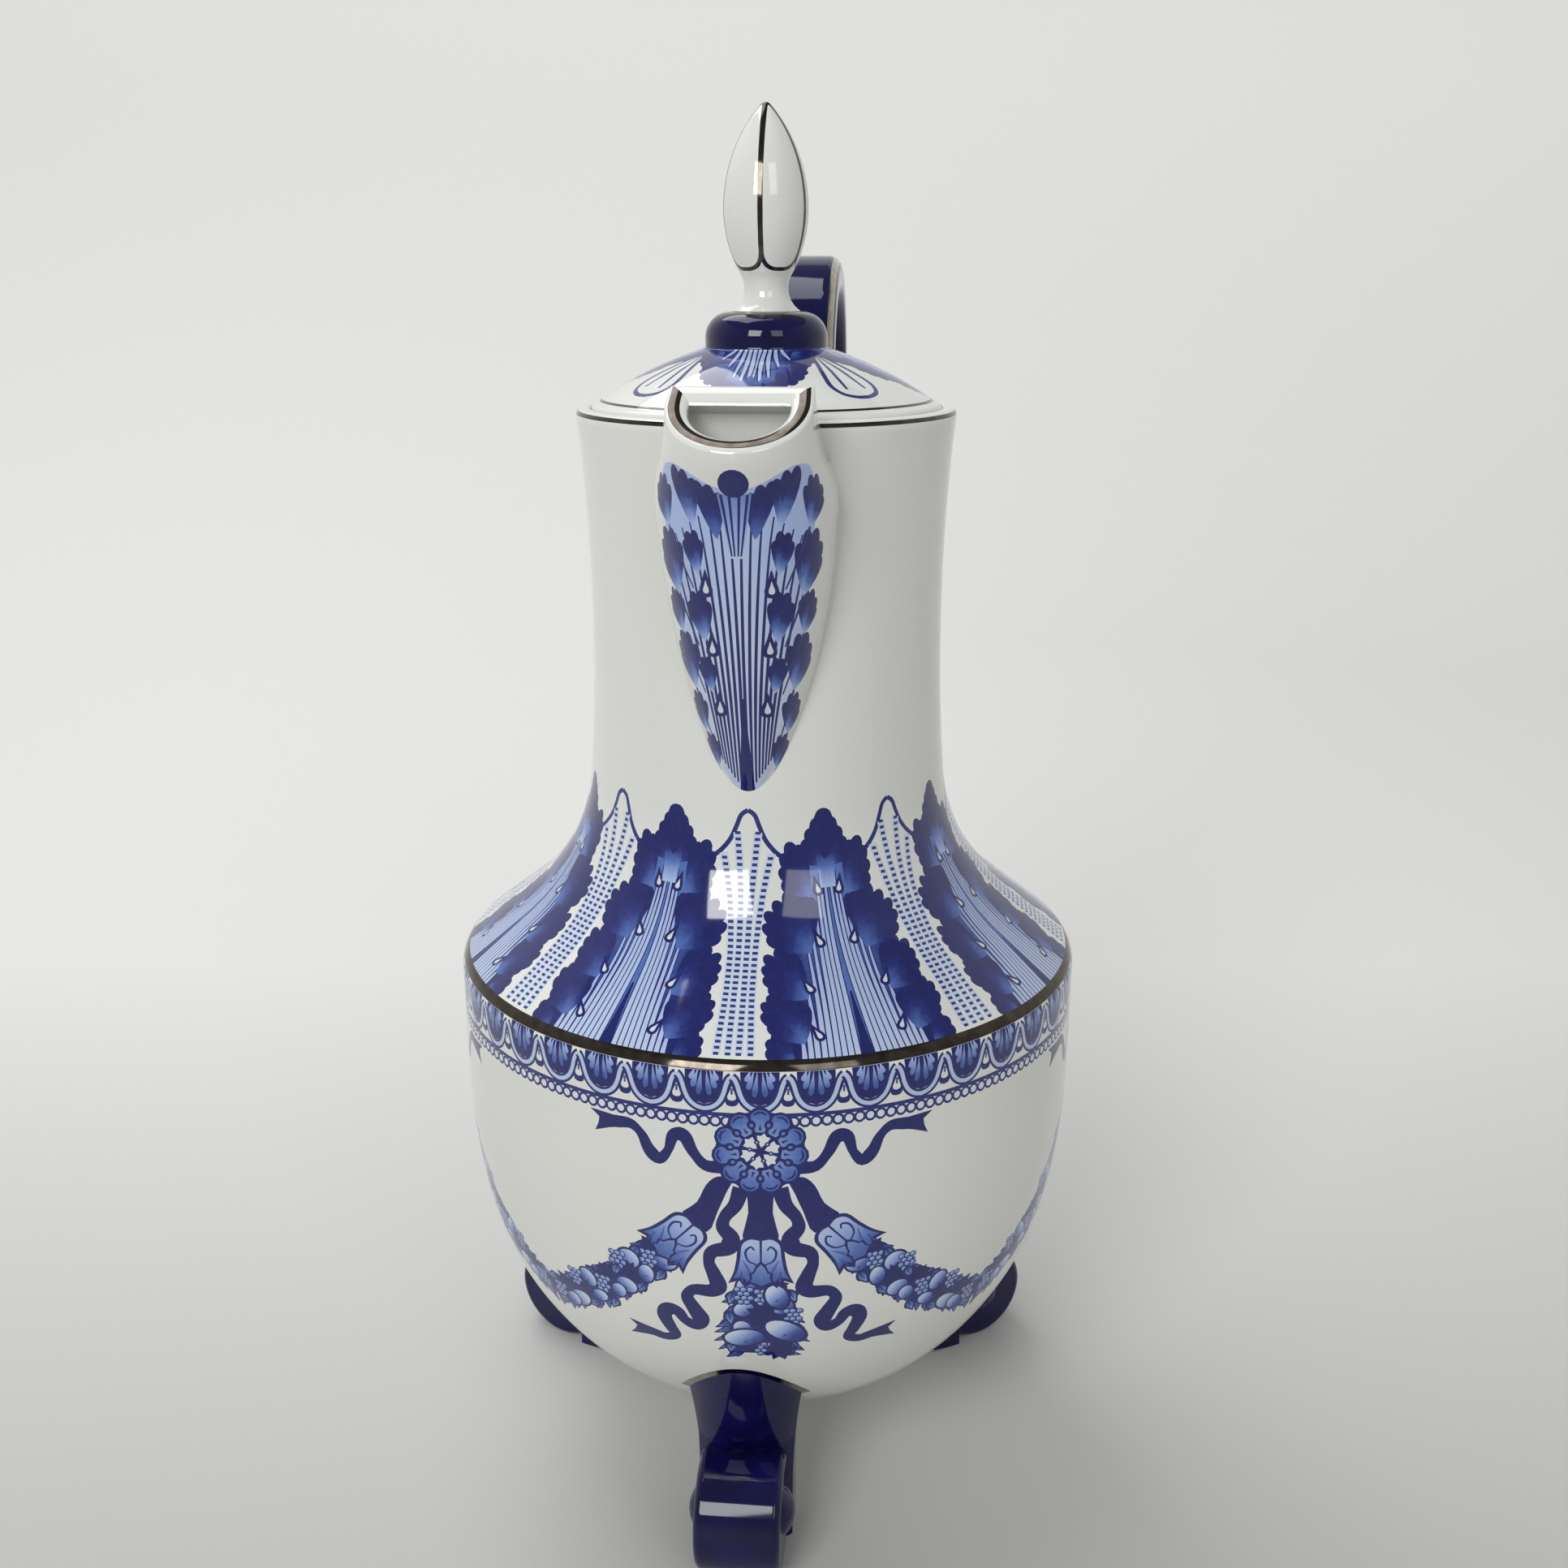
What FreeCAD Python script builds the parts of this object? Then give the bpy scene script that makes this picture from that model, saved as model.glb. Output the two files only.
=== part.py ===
"""Tall porcelain coffee pot: turned body on three scroll feet, beak spout, strap handle and a lift-off lid.

Frame: millimetres, +Z up, spout along -Y, handle along +Y. Pieces are drawn about the pot's own axis, and
the whole pot is then set back so that the origin is at table level, halfway from its front foot to its
handle's back.
"""
import FreeCAD, Part
import math
import os
import Sketcher
from FreeCAD import Placement, Rotation, Vector

# Driving sizes: slopes and turns are in degrees, everything else is in millimetres.
SIZES = {
    # turned body, built up from the table
    "wall": 3.2,
    "base_level": 14.0,
    "base_radius": 19.4,
    "belly_radius": 65.7,
    "belly_upper_curve": 156.0,
    "belly_lower_curve": 66.0,
    "belly_lower_drop": 16.2,
    "belt_height": 21.3,
    "shoulder_inner_round": 1.8,
    "shoulder_slope": 38.0,
    "shoulder_run": 15.0,
    "waist_radius": 35.7,
    "waist_height": 74.0,
    "neck_curve": 413.0,
    "neck_height": 115.0,
    # rim, and the gallery inside it that carries the lid
    "rim_round": 1.5,
    "rim_thickness": 2.8,
    "gallery_depth": 1.6,
    "gallery_ledge": 2.6,
    "gallery_thickness": 2.4,
    "clearance": 0.3,
    # holes through the neck behind the spout
    "strainer_hole": 5.6,
    "strainer_pitch": 8.4,
    "strainer_drop": 33.0,
    # beak spout, placed down from the rim and out from the neck
    "spout_wall": 2.8,
    "spout_drop": 71.0,
    "spout_foot_width": 8.9,
    "saddle_drop": 12.0,
    "saddle_width": 33.0,
    "saddle_overhang": 18.3,
    "throat_drop": 3.0,
    "throat_width": 27.5,
    "lip_drop": 2.5,
    "lip_overhang": 22.3,
    "mouth_width": 24.6,
    "bridge_rise": 7.0,
    "bridge_gap": 3.7,
    "notch_depth": 7.0,
    # strap handle, from the neck to the shoulder
    "handle_width": 20.0,
    "handle_thickness": 9.0,
    "handle_round": 3.2,
    "handle_drop": 13.0,
    "handle_stub": 2.3,
    "handle_rise_curve": 16.0,
    "handle_rise_slope": 85.0,
    "handle_crest_curve": 25.0,
    "handle_landing_inset": 9.5,
    # scroll feet
    "foot_inset": 10.2,
    "roll_radius": 12.0,
    "roll_width": 17.5,
    "roll_round": 1.6,
    "foot_flat": 0.4,
    "leg_thickness": 9.0,
    "leg_crown": 13.0,
    "leg_bite": 0.8,
    "leg_cove": 160.0,
    "leg_rise": 46.0,
    "leg_flare_rise": 31.0,
    "leg_waist_width": 19.5,
    "leg_top_width": 27.0,
    "boss_width": 9.6,
    "boss_height": 2.2,
    # lid, built up from the gallery
    "lid_edge_height": 2.4,
    "lid_edge_round": 1.0,
    "lid_skirt_depth": 11.0,
    "lid_skirt_wall": 2.4,
    "lid_dome_curve": 80.0,
    "lid_dome_rise": 10.4,
    "lid_thickness": 3.0,
    "collar_side": 1.9,
    "collar_round": 4.9,
    "collar_margin": 0.2,
    # bud finial, built up from the collar
    "finial_foot_radius": 6.9,
    "stem_radius": 4.3,
    "stem_height": 4.4,
    "bud_radius": 8.25,
    "bud_height": 18.9,
    "tip_radius": 0.6,
    "finial_height": 38.0,
}

SPOUT_SIDE = -90.0
HANDLE_SIDE = 90.0
# The rear feet stand a little round from an even spacing of three.
REAR_TURN = 5.0
FOOT_SIDES = {
    "foot_front": SPOUT_SIDE,
    "foot_rear_left": SPOUT_SIDE - 360 / 3 + REAR_TURN,
    "foot_rear_right": SPOUT_SIDE + 360 / 3 + REAR_TURN,
}
SPOUT_SHARES = (0.0, 0.25, 0.5, 0.75, 1.0)
SPOUT_SWELL = 0.85
STRAINER_RING = 6
STRAINER_TURN = 30
CREVICE_TURN = 110
LEG_SWEEP = 150

doc = FreeCAD.newDocument("coffee_pot")
sheet = doc.addObject("Spreadsheet::Sheet", "sizes")
for row, (alias, value) in enumerate(SIZES.items(), start=1):
    sheet.set(f"A{row}", alias)
    sheet.set(f"B{row}", str(value))
    sheet.setAlias(f"B{row}", alias)
doc.recompute()


def size(alias):
    """A driving size, as the sheet holds it."""
    return float(sheet.get(alias))


def polar(centre, radius, degrees):
    """The point at an angle on a circle."""
    angle = math.radians(degrees)
    return (centre[0] + radius * math.cos(angle), centre[1] + radius * math.sin(angle))


# How a sketch numbers the points of an edge, and its own two axes.
START, END, CENTRE = range(1, 4)
AXIS_X, AXIS_Y = range(-1, -3, -1)


class Outline:
    """A sketch drawn with a pen: lines and arcs joined end to end, then held by sizes from the sheet."""

    def __init__(self, body, name, role):
        self.sketch = body.newObject("Sketcher::SketchObject", name)
        plane = next(item for item in body.Origin.OriginFeatures if item.Role == role)
        self.sketch.AttachmentSupport = [(plane, "")]
        self.sketch.MapMode = "FlatFace"

    def start(self, point):
        """Lifts the pen to a new point."""
        self.pen = point
        self.head = None
        self.first = None

    def _join(self, geometry, tail, head, point, smooth):
        index = self.sketch.addGeometry(geometry, False)
        if self.head is None:
            self.first = (index, tail)
        else:
            self._tie("Tangent" if smooth else "Coincident", *self.head, index, tail)
        self.head = (index, head)
        self.pen = point
        return index

    def _tie(self, kind, *places):
        return self.sketch.addConstraint(Sketcher.Constraint(kind, *places))

    def line(self, point, smooth=False):
        """A straight stretch from the pen to a point."""
        edge = Part.LineSegment(Vector(*self.pen, 0), Vector(*point, 0))
        return self._join(edge, START, END, point, smooth)

    def arc(self, point, centre, left, smooth=True):
        """A round stretch about a centre, turning left or right on its way to a point."""
        low, high = (self.pen, point) if left else (point, self.pen)
        first = math.atan2(low[1] - centre[1], low[0] - centre[0])
        last = math.atan2(high[1] - centre[1], high[0] - centre[0])
        if last < first:
            last += 2 * math.pi
        circle = Part.Circle(Vector(*centre, 0), Vector(0, 0, 1), math.dist(centre, point))
        edge = Part.ArcOfCircle(circle, first, last)
        tail, head = (START, END) if left else (END, START)
        return self._join(edge, tail, head, point, smooth)

    def close(self, smooth=False):
        """Ties the pen's last end to its first."""
        self._tie("Tangent" if smooth else "Coincident", *self.head, *self.first)

    def tie(self, kind, *places):
        """A rule with no size, such as Horizontal."""
        self._tie(kind, *places)

    def hold(self, kind, expression, *places):
        """A size, bound to the sheet."""
        value = float(self.sketch.evalExpression(expression))
        start = math.radians(value) if kind == "Angle" else value
        index = self._tie(kind, *places, start)
        self.sketch.setExpression(f"Constraints[{index}]", expression)

    def shift(self, expression):
        """Moves the sketch along its own first axis."""
        self.sketch.setExpression("AttachmentOffset.Base.x", expression)

    def lift(self, expression):
        """Moves the sketch along its plane's normal."""
        self.sketch.setExpression("AttachmentOffset.Base.z", expression)


# Places that follow from the driving sizes, each built on the ones before it.
LOWER_REACH = (
    "(sizes.belly_radius - sizes.belly_upper_curve"
    " + sqrt((sizes.belly_upper_curve - sizes.belly_lower_curve) ^ 2 - sizes.belly_lower_drop ^ 2))"
)
LOWER_LEVEL = (
    "(sizes.base_level"
    f" + sqrt(sizes.belly_lower_curve ^ 2 - (sizes.base_radius - {LOWER_REACH}) ^ 2))"
)
BELLY_LEVEL = f"({LOWER_LEVEL} + sizes.belly_lower_drop)"
SHOULDER_LEVEL = f"({BELLY_LEVEL} + sizes.belt_height)"
WAIST_LEVEL = f"({SHOULDER_LEVEL} + sizes.waist_height)"
RIM_LEVEL = f"({SHOULDER_LEVEL} + sizes.neck_height)"
NECK_AT_RIM = (
    "(sizes.waist_radius + sizes.neck_curve"
    " - sqrt(sizes.neck_curve ^ 2 - (sizes.neck_height - sizes.waist_height) ^ 2))"
)
LEDGE_LEVEL = f"({RIM_LEVEL} - sizes.gallery_depth)"
SHELF_LEVEL = f"({LEDGE_LEVEL} - sizes.gallery_thickness)"
GALLERY_RADIUS = f"({NECK_AT_RIM} - sizes.rim_thickness)"
LEDGE_RADIUS = f"({GALLERY_RADIUS} - sizes.gallery_ledge)"
SADDLE_REACH = "(sizes.waist_radius + sizes.saddle_overhang)"
LIP_REACH = "(sizes.waist_radius + sizes.lip_overhang)"
LIP_LEVEL = f"({RIM_LEVEL} - sizes.lip_drop)"
BRIDGE_REACH = f"({NECK_AT_RIM} + sizes.bridge_gap)"
BRIDGE_LEVEL = f"({RIM_LEVEL} + sizes.bridge_rise)"
NOTCH_LEVEL = f"({RIM_LEVEL} - sizes.notch_depth)"
SPOUT_TOP = f"({BRIDGE_LEVEL} + sizes.spout_wall)"
CUT_TOP = f"({SPOUT_TOP} + sizes.spout_wall)"
SPOUT_BACK = "(sizes.waist_radius - sizes.saddle_width / 2)"
CHANNEL_BACK = f"({SPOUT_BACK} - sizes.spout_wall)"
CUT_BACK = f"({CHANNEL_BACK} - sizes.spout_wall)"
BRIDGE_LEAN = "(sizes.bridge_gap / (sizes.bridge_rise + sizes.notch_depth))"
HANDLE_LEVEL = f"({RIM_LEVEL} - sizes.handle_drop)"
HANDLE_ROOT = "(sizes.waist_radius - sizes.handle_thickness)"
STUB_REACH = "(sizes.waist_radius + sizes.handle_stub)"
CREST_REACH = (
    f"({STUB_REACH}"
    " + (sizes.handle_rise_curve + sizes.handle_crest_curve) * sin(sizes.handle_rise_slope))"
)
HANDLE_BACK = f"({CREST_REACH} + sizes.handle_crest_curve + sizes.handle_thickness / 2)"
LANDING_REACH = "(sizes.belly_radius - sizes.handle_landing_inset)"
LANDING_LEVEL = f"({SHOULDER_LEVEL} + sizes.wall)"
FOOT_REACH = "(sizes.belly_radius - sizes.foot_inset)"
AXIS_SETBACK = f"(({FOOT_REACH} + sizes.roll_radius - {HANDLE_BACK}) / 2)"
ROLL_LEVEL = "(sizes.roll_radius - sizes.foot_flat)"
CONTACT = f"sqrt(sizes.roll_radius ^ 2 - {ROLL_LEVEL} ^ 2)"
CREVICE_REACH = f"({FOOT_REACH} + sizes.roll_radius * cos({CREVICE_TURN}))"
CREVICE_LEVEL = f"({ROLL_LEVEL} + sizes.roll_radius * sin({CREVICE_TURN}))"
CROWN_AXIS = f"({CREVICE_REACH} - sizes.leg_crown)"
LEG_REAR = "(sizes.leg_crown - sizes.leg_thickness)"
LEG_TOE = f"({FOOT_REACH} - {CONTACT} - {CROWN_AXIS})"
LEG_TOP = "(sizes.base_level + sizes.leg_rise)"
LEG_FLARE_TOP = "(sizes.base_level + sizes.leg_flare_rise)"
BELLY_AT_LEG = (
    f"({LOWER_REACH}"
    f" + sqrt(sizes.belly_lower_curve ^ 2 - ({LOWER_LEVEL} - {LEG_TOP}) ^ 2))"
)
LEG_HEAD = f"({BELLY_AT_LEG} - sizes.leg_bite)"
LID_RADIUS = f"({GALLERY_RADIUS} - sizes.clearance)"
SKIRT_RADIUS = f"({LEDGE_RADIUS} - sizes.clearance)"
LID_EDGE_TOP = f"({LEDGE_LEVEL} + sizes.lid_edge_height)"
COLLAR_FLAT = "(sizes.finial_foot_radius + sizes.collar_margin)"
COLLAR_RADIUS = f"({COLLAR_FLAT} + sizes.collar_round)"
COLLAR_FOOT = f"({LID_EDGE_TOP} + sizes.lid_dome_rise)"
COLLAR_TOP = f"({COLLAR_FOOT} + sizes.collar_side + sizes.collar_round)"
STEM_SPREAD = "(sizes.finial_foot_radius - sizes.stem_radius)"
STEM_CURVE = f"(({STEM_SPREAD} ^ 2 + sizes.stem_height ^ 2) / (2 * {STEM_SPREAD}))"


def worth(expression):
    """The value of a sheet expression."""
    return float(sheet.evalExpression(expression))


def bowed(first, last, radius):
    """Centre of the arc from one point to another that lies to the right of the way between them."""
    chord = math.dist(first, last)
    bow = math.sqrt(radius ** 2 - chord ** 2 / 4) / chord
    return (
        (first[0] + last[0]) / 2 + bow * (last[1] - first[1]),
        (first[1] + last[1]) / 2 - bow * (last[0] - first[0]),
    )


def new_body(name):
    return doc.addObject("PartDesign::Body", name)


def revolve(body, outline, degrees=360):
    """Turns an outline about its own upright axis, as far to one side as to the other."""
    feature = body.newObject("PartDesign::Revolution", body.Name + "_turned")
    feature.Profile = outline.sketch
    feature.ReferenceAxis = (outline.sketch, ["V_Axis"])
    feature.Midplane = True
    feature.Angle = degrees
    return feature


def polygon(body, name, corners):
    """An upright outline of straight sides, each corner held by its own two sizes."""
    outline = Outline(body, name, "XZ_Plane")
    places = [(worth(reach), worth(level)) for reach, level in corners]
    outline.start(places[-1])
    sides = [outline.line(place) for place in places]
    outline.close()
    for side, (reach, level) in zip(sides, corners):
        outline.hold("DistanceX", reach, side, END)
        outline.hold("DistanceY", level, side, END)
    return outline


def cut(name, base, tool):
    """One sub-part: what is left of a base outside a tool."""
    result = doc.addObject("Part::Cut", name)
    result.Base = base
    result.Tool = tool
    result.Label = name
    return result


def wall_points(inset):
    """Centres and joints of the pot's wall curve, moved inwards by an inset."""
    upper = size("belly_upper_curve") - inset
    lower = size("belly_lower_curve") - inset
    radius = size("belly_radius") - inset
    belly = worth(BELLY_LEVEL)
    lower_centre = (worth(LOWER_REACH), worth(LOWER_LEVEL))
    upper_centre = (radius - upper, belly)
    turn = math.degrees(math.atan2(belly - lower_centre[1], lower_centre[0] - upper_centre[0]))
    base_level = size("base_level") + inset
    rise = lower_centre[1] - base_level
    shoulder = worth(SHOULDER_LEVEL)
    slope = size("shoulder_slope")
    edge_round = size("shoulder_inner_round") + size("wall") - inset
    edge_centre = (radius - edge_round, shoulder)
    edge_end = polar(edge_centre, edge_round, 90 - slope)
    flare_start = polar(edge_end, size("shoulder_run"), 180 - slope)
    neck = size("neck_curve") + inset
    neck_centre = (size("waist_radius") + size("neck_curve"), worth(WAIST_LEVEL))
    away = (flare_start[0] - neck_centre[0], flare_start[1] - neck_centre[1])
    square = polar((0, 0), 1, 90 - slope)
    facing = away[0] * square[0] + away[1] * square[1]
    flare = (neck ** 2 - away[0] ** 2 - away[1] ** 2) / (2 * (facing + neck))
    flare_centre = polar(flare_start, flare, 90 - slope)
    share = neck / (neck - flare)
    return {
        "base": (lower_centre[0] + math.sqrt(lower ** 2 - rise ** 2), base_level),
        "lower_centre": lower_centre,
        "joint": polar(lower_centre, lower, -turn),
        "upper_centre": upper_centre,
        "belly_top": (radius, belly),
        "edge_start": (radius, shoulder),
        "edge_centre": edge_centre,
        "edge_end": edge_end,
        "flare_start": flare_start,
        "flare_centre": flare_centre,
        "flare_end": tuple(c + share * (f - c) for c, f in zip(neck_centre, flare_centre)),
        "neck_centre": neck_centre,
        "neck_radius": neck,
    }


def neck_point(points, level):
    """The place on the neck's curve at a height."""
    rise = level - points["neck_centre"][1]
    return (points["neck_centre"][0] - math.sqrt(points["neck_radius"] ** 2 - rise ** 2), level)


def draw_wall(outline, inset, top_level):
    """Draws the pot's wall from its base corner to the neck's top, an inset inside the outer face."""
    points = wall_points(worth(inset))
    top = neck_point(points, top_level)
    lower = outline.arc(points["joint"], points["lower_centre"], left=True, smooth=False)
    upper = outline.arc(points["belly_top"], points["upper_centre"], left=True)
    side = outline.line(points["edge_start"], smooth=True)
    edge = outline.arc(points["edge_end"], points["edge_centre"], left=True)
    slope = outline.line(points["flare_start"], smooth=True)
    outline.arc(points["flare_end"], points["flare_centre"], left=False)
    neck = outline.arc(top, points["neck_centre"], left=False)
    outline.hold("Radius", f"sizes.belly_lower_curve - {inset}", lower)
    outline.hold("DistanceY", LOWER_LEVEL, lower, CENTRE)
    outline.hold("Radius", f"sizes.belly_upper_curve - {inset}", upper)
    outline.hold("DistanceY", BELLY_LEVEL, upper, CENTRE)
    outline.tie("Vertical", side)
    outline.hold("DistanceX", f"sizes.belly_radius - {inset}", side, END)
    outline.hold("Radius", f"sizes.shoulder_inner_round + sizes.wall - {inset}", edge)
    outline.hold("DistanceY", SHOULDER_LEVEL, edge, CENTRE)
    outline.hold("Angle", "180 - sizes.shoulder_slope", AXIS_X, START, slope, START)
    outline.hold("Distance", "sizes.shoulder_run", slope)
    outline.hold("Radius", f"sizes.neck_curve + {inset}", neck)
    outline.hold("DistanceX", "sizes.waist_radius + sizes.neck_curve", neck, CENTRE)
    outline.hold("DistanceY", WAIST_LEVEL, neck, CENTRE)


def make_core():
    """The pot as one full solid inside its outer face: what every stuck-on piece is fitted to."""
    body = new_body("core")
    outline = Outline(body, "core_outline", "XZ_Plane")
    points = wall_points(0.0)
    rim_level = worth(RIM_LEVEL)
    round_start = neck_point(points, rim_level - size("rim_round"))
    round_centre = (round_start[0] - size("rim_round"), round_start[1])
    outline.start((0, size("base_level")))
    base = outline.line(points["base"])
    draw_wall(outline, "0", round_start[1])
    rim = outline.arc((round_centre[0], rim_level), round_centre, left=True)
    top = outline.line((0, rim_level), smooth=True)
    axis = outline.line((0, size("base_level")))
    outline.close()
    outline.tie("Horizontal", base)
    outline.hold("DistanceY", "sizes.base_level", base, START)
    outline.hold("Radius", "sizes.rim_round", rim)
    outline.tie("Horizontal", top)
    outline.hold("DistanceY", RIM_LEVEL, top, START)
    outline.tie("PointOnObject", axis, START, AXIS_Y)
    outline.tie("PointOnObject", axis, END, AXIS_Y)
    revolve(body, outline)
    return body


def make_cavity():
    """The space inside the pot, with the ledge that the lid stands on."""
    body = new_body("cavity")
    outline = Outline(body, "cavity_outline", "XZ_Plane")
    points = wall_points(size("wall"))
    floor = size("base_level") + size("wall")
    ledge = worth(LEDGE_LEVEL)
    mouth = worth(RIM_LEVEL) + size("wall")
    under = worth(SHELF_LEVEL) - size("gallery_ledge")
    outline.start((0, floor))
    bottom = outline.line(points["base"])
    draw_wall(outline, "sizes.wall", under)
    shelf = outline.line((worth(LEDGE_RADIUS), worth(SHELF_LEVEL)))
    lip = outline.line((worth(LEDGE_RADIUS), ledge))
    seat = outline.line((worth(GALLERY_RADIUS), ledge))
    side = outline.line((worth(GALLERY_RADIUS), mouth))
    top = outline.line((0, mouth))
    axis = outline.line((0, floor))
    outline.close()
    outline.tie("Horizontal", bottom)
    outline.hold("DistanceY", "sizes.base_level + sizes.wall", bottom, START)
    outline.hold("DistanceY", f"{SHELF_LEVEL} - sizes.gallery_ledge", shelf, START)
    outline.hold("DistanceY", SHELF_LEVEL, shelf, END)
    outline.tie("Vertical", lip)
    outline.hold("DistanceX", LEDGE_RADIUS, lip, END)
    outline.hold("DistanceY", LEDGE_LEVEL, lip, END)
    outline.tie("Horizontal", seat)
    outline.hold("DistanceX", GALLERY_RADIUS, seat, END)
    outline.tie("Vertical", side)
    outline.tie("Horizontal", top)
    outline.hold("DistanceY", f"{RIM_LEVEL} + sizes.wall", top, START)
    outline.tie("PointOnObject", axis, START, AXIS_Y)
    outline.tie("PointOnObject", axis, END, AXIS_Y)
    revolve(body, outline)
    return body


def strainer_hole(index, across, above):
    """One hole through the front of the neck, behind the spout."""
    hole = doc.addObject("Part::Cylinder", f"strainer_hole_{index}")
    hole.Placement = Placement(Vector(), Rotation(Vector(1, 0, 0), 90))
    hole.setExpression("Radius", "sizes.strainer_hole / 2")
    hole.setExpression("Height", SADDLE_REACH)
    hole.setExpression("Placement.Base.x", across)
    hole.setExpression("Placement.Base.z", f"{RIM_LEVEL} - sizes.strainer_drop + {above}")
    return hole


def make_pot_body(core):
    """The turned shell, hollow, open at the rim and pierced behind the spout."""
    tools = [make_cavity(), strainer_hole(0, "0", "0")]
    for step in range(STRAINER_RING):
        turn = STRAINER_TURN + 360 / STRAINER_RING * step
        across = f"sizes.strainer_pitch * cos({turn})"
        above = f"sizes.strainer_pitch * sin({turn})"
        tools.append(strainer_hole(step + 1, across, above))
    hollow = doc.addObject("Part::MultiFuse", "hollow")
    hollow.Shapes = tools
    return cut("body", core, hollow)


def turn_to(body, degrees):
    """Swings a piece drawn along +X round to its side of the pot."""
    body.Placement = Placement(Vector(), Rotation(Vector(0, 0, 1), degrees))


def spout_section(body, name, level, width, reach, back):
    """A level slice of the spout: straight flanks with a half-round front."""
    outline = Outline(body, name, "XY_Plane")
    half = worth(f"({width}) / 2")
    nose = (worth(reach) - half, 0)
    rear = worth(back)
    outline.start((rear, -half))
    right = outline.line((nose[0], -half))
    front = outline.arc((nose[0], half), nose, left=True)
    left = outline.line((rear, half), smooth=True)
    heel = outline.line((rear, -half))
    outline.close()
    outline.tie("Horizontal", right)
    outline.tie("Horizontal", left)
    outline.tie("Vertical", heel)
    outline.tie("PointOnObject", front, CENTRE, AXIS_X)
    outline.hold("Radius", f"({width}) / 2", front)
    outline.hold("DistanceX", f"{reach} - ({width}) / 2", front, CENTRE)
    outline.hold("DistanceX", back, heel, START)
    outline.lift(level)
    return outline.sketch


def spout_slices():
    """Level, width and reach of each slice, from the spout's foot to above its bridge."""
    rise = "(sizes.spout_drop - sizes.saddle_drop)"
    spread = "(sizes.saddle_width - sizes.spout_foot_width)"
    slices = []
    for share in SPOUT_SHARES:
        level = f"{RIM_LEVEL} - sizes.spout_drop + {share} * {rise}"
        width = f"sizes.saddle_width - {(1 - share) ** 2} * {spread}"
        reach = f"sizes.waist_radius + {share ** SPOUT_SWELL} * sizes.saddle_overhang"
        slices.append((level, width, reach))
    slices.append((f"{RIM_LEVEL} - sizes.throat_drop", "sizes.throat_width", LIP_REACH))
    slices.append((SPOUT_TOP, "sizes.mouth_width", LIP_REACH))
    return slices


def spout_loft(body, slices, inset, back):
    """A smooth solid through the spout's slices, an inset inside its outer face."""
    sketches = []
    for index, (level, width, reach) in enumerate(slices):
        name = f"{body.Name}_slice_{index}"
        sketches.append(spout_section(
            body, name, level, f"{width} - 2 * {inset}", f"{reach} - {inset}", back))
    feature = body.newObject("PartDesign::AdditiveLoft", body.Name + "_loft")
    feature.Profile = sketches[0]
    feature.Sections = sketches[1:]


def trim(body, outline):
    """Takes an outline's area away from a piece, right through it."""
    pocket = body.newObject("PartDesign::Pocket", body.Name + "_trim")
    pocket.Profile = outline.sketch
    pocket.Type = "ThroughAll"
    pocket.SideType = "Symmetric"
    return pocket


def make_horn():
    """The spout's outside, with its sloping mouth and the notch between its bridge and the rim."""
    body = new_body("spout_horn")
    spout_loft(body, spout_slices(), "0", SPOUT_BACK)
    beyond_reach = f"{LIP_REACH} + ({LIP_REACH} - {BRIDGE_REACH})"
    beyond_level = f"{LIP_LEVEL} + ({LIP_LEVEL} - {BRIDGE_LEVEL})"
    corners = [
        (CUT_BACK, NOTCH_LEVEL),
        (NECK_AT_RIM, NOTCH_LEVEL),
        (BRIDGE_REACH, BRIDGE_LEVEL),
        (beyond_reach, beyond_level),
        (beyond_reach, CUT_TOP),
        (CUT_BACK, CUT_TOP),
    ]
    trim(body, polygon(body, "mouth_outline", corners))
    return body


def make_channel():
    """The space inside the spout, kept in front of the bridge."""
    body = new_body("spout_channel")
    spout_loft(body, spout_slices()[1:], "sizes.spout_wall", CHANNEL_BACK)
    top_reach = f"{BRIDGE_REACH} + sizes.spout_wall + ({CUT_TOP} - {BRIDGE_LEVEL}) * {BRIDGE_LEAN}"
    low_reach = "(sizes.waist_radius - sizes.wall)"
    low_level = f"{NOTCH_LEVEL} - ({NECK_AT_RIM} + sizes.spout_wall - {low_reach}) / {BRIDGE_LEAN}"
    corners = [(low_reach, low_level), (top_reach, CUT_TOP), (CUT_BACK, CUT_TOP), (CUT_BACK, low_level)]
    trim(body, polygon(body, "bridge_outline", corners))
    return body


def make_spout(core):
    """The beak spout: a half-round horn on the neck with a sloping mouth and a bridge at its back."""
    horn = make_horn()
    channel = make_channel()
    for body in (horn, channel):
        turn_to(body, SPOUT_SIDE)
    return cut("spout", cut("spout_shell", horn, channel), core)


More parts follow.
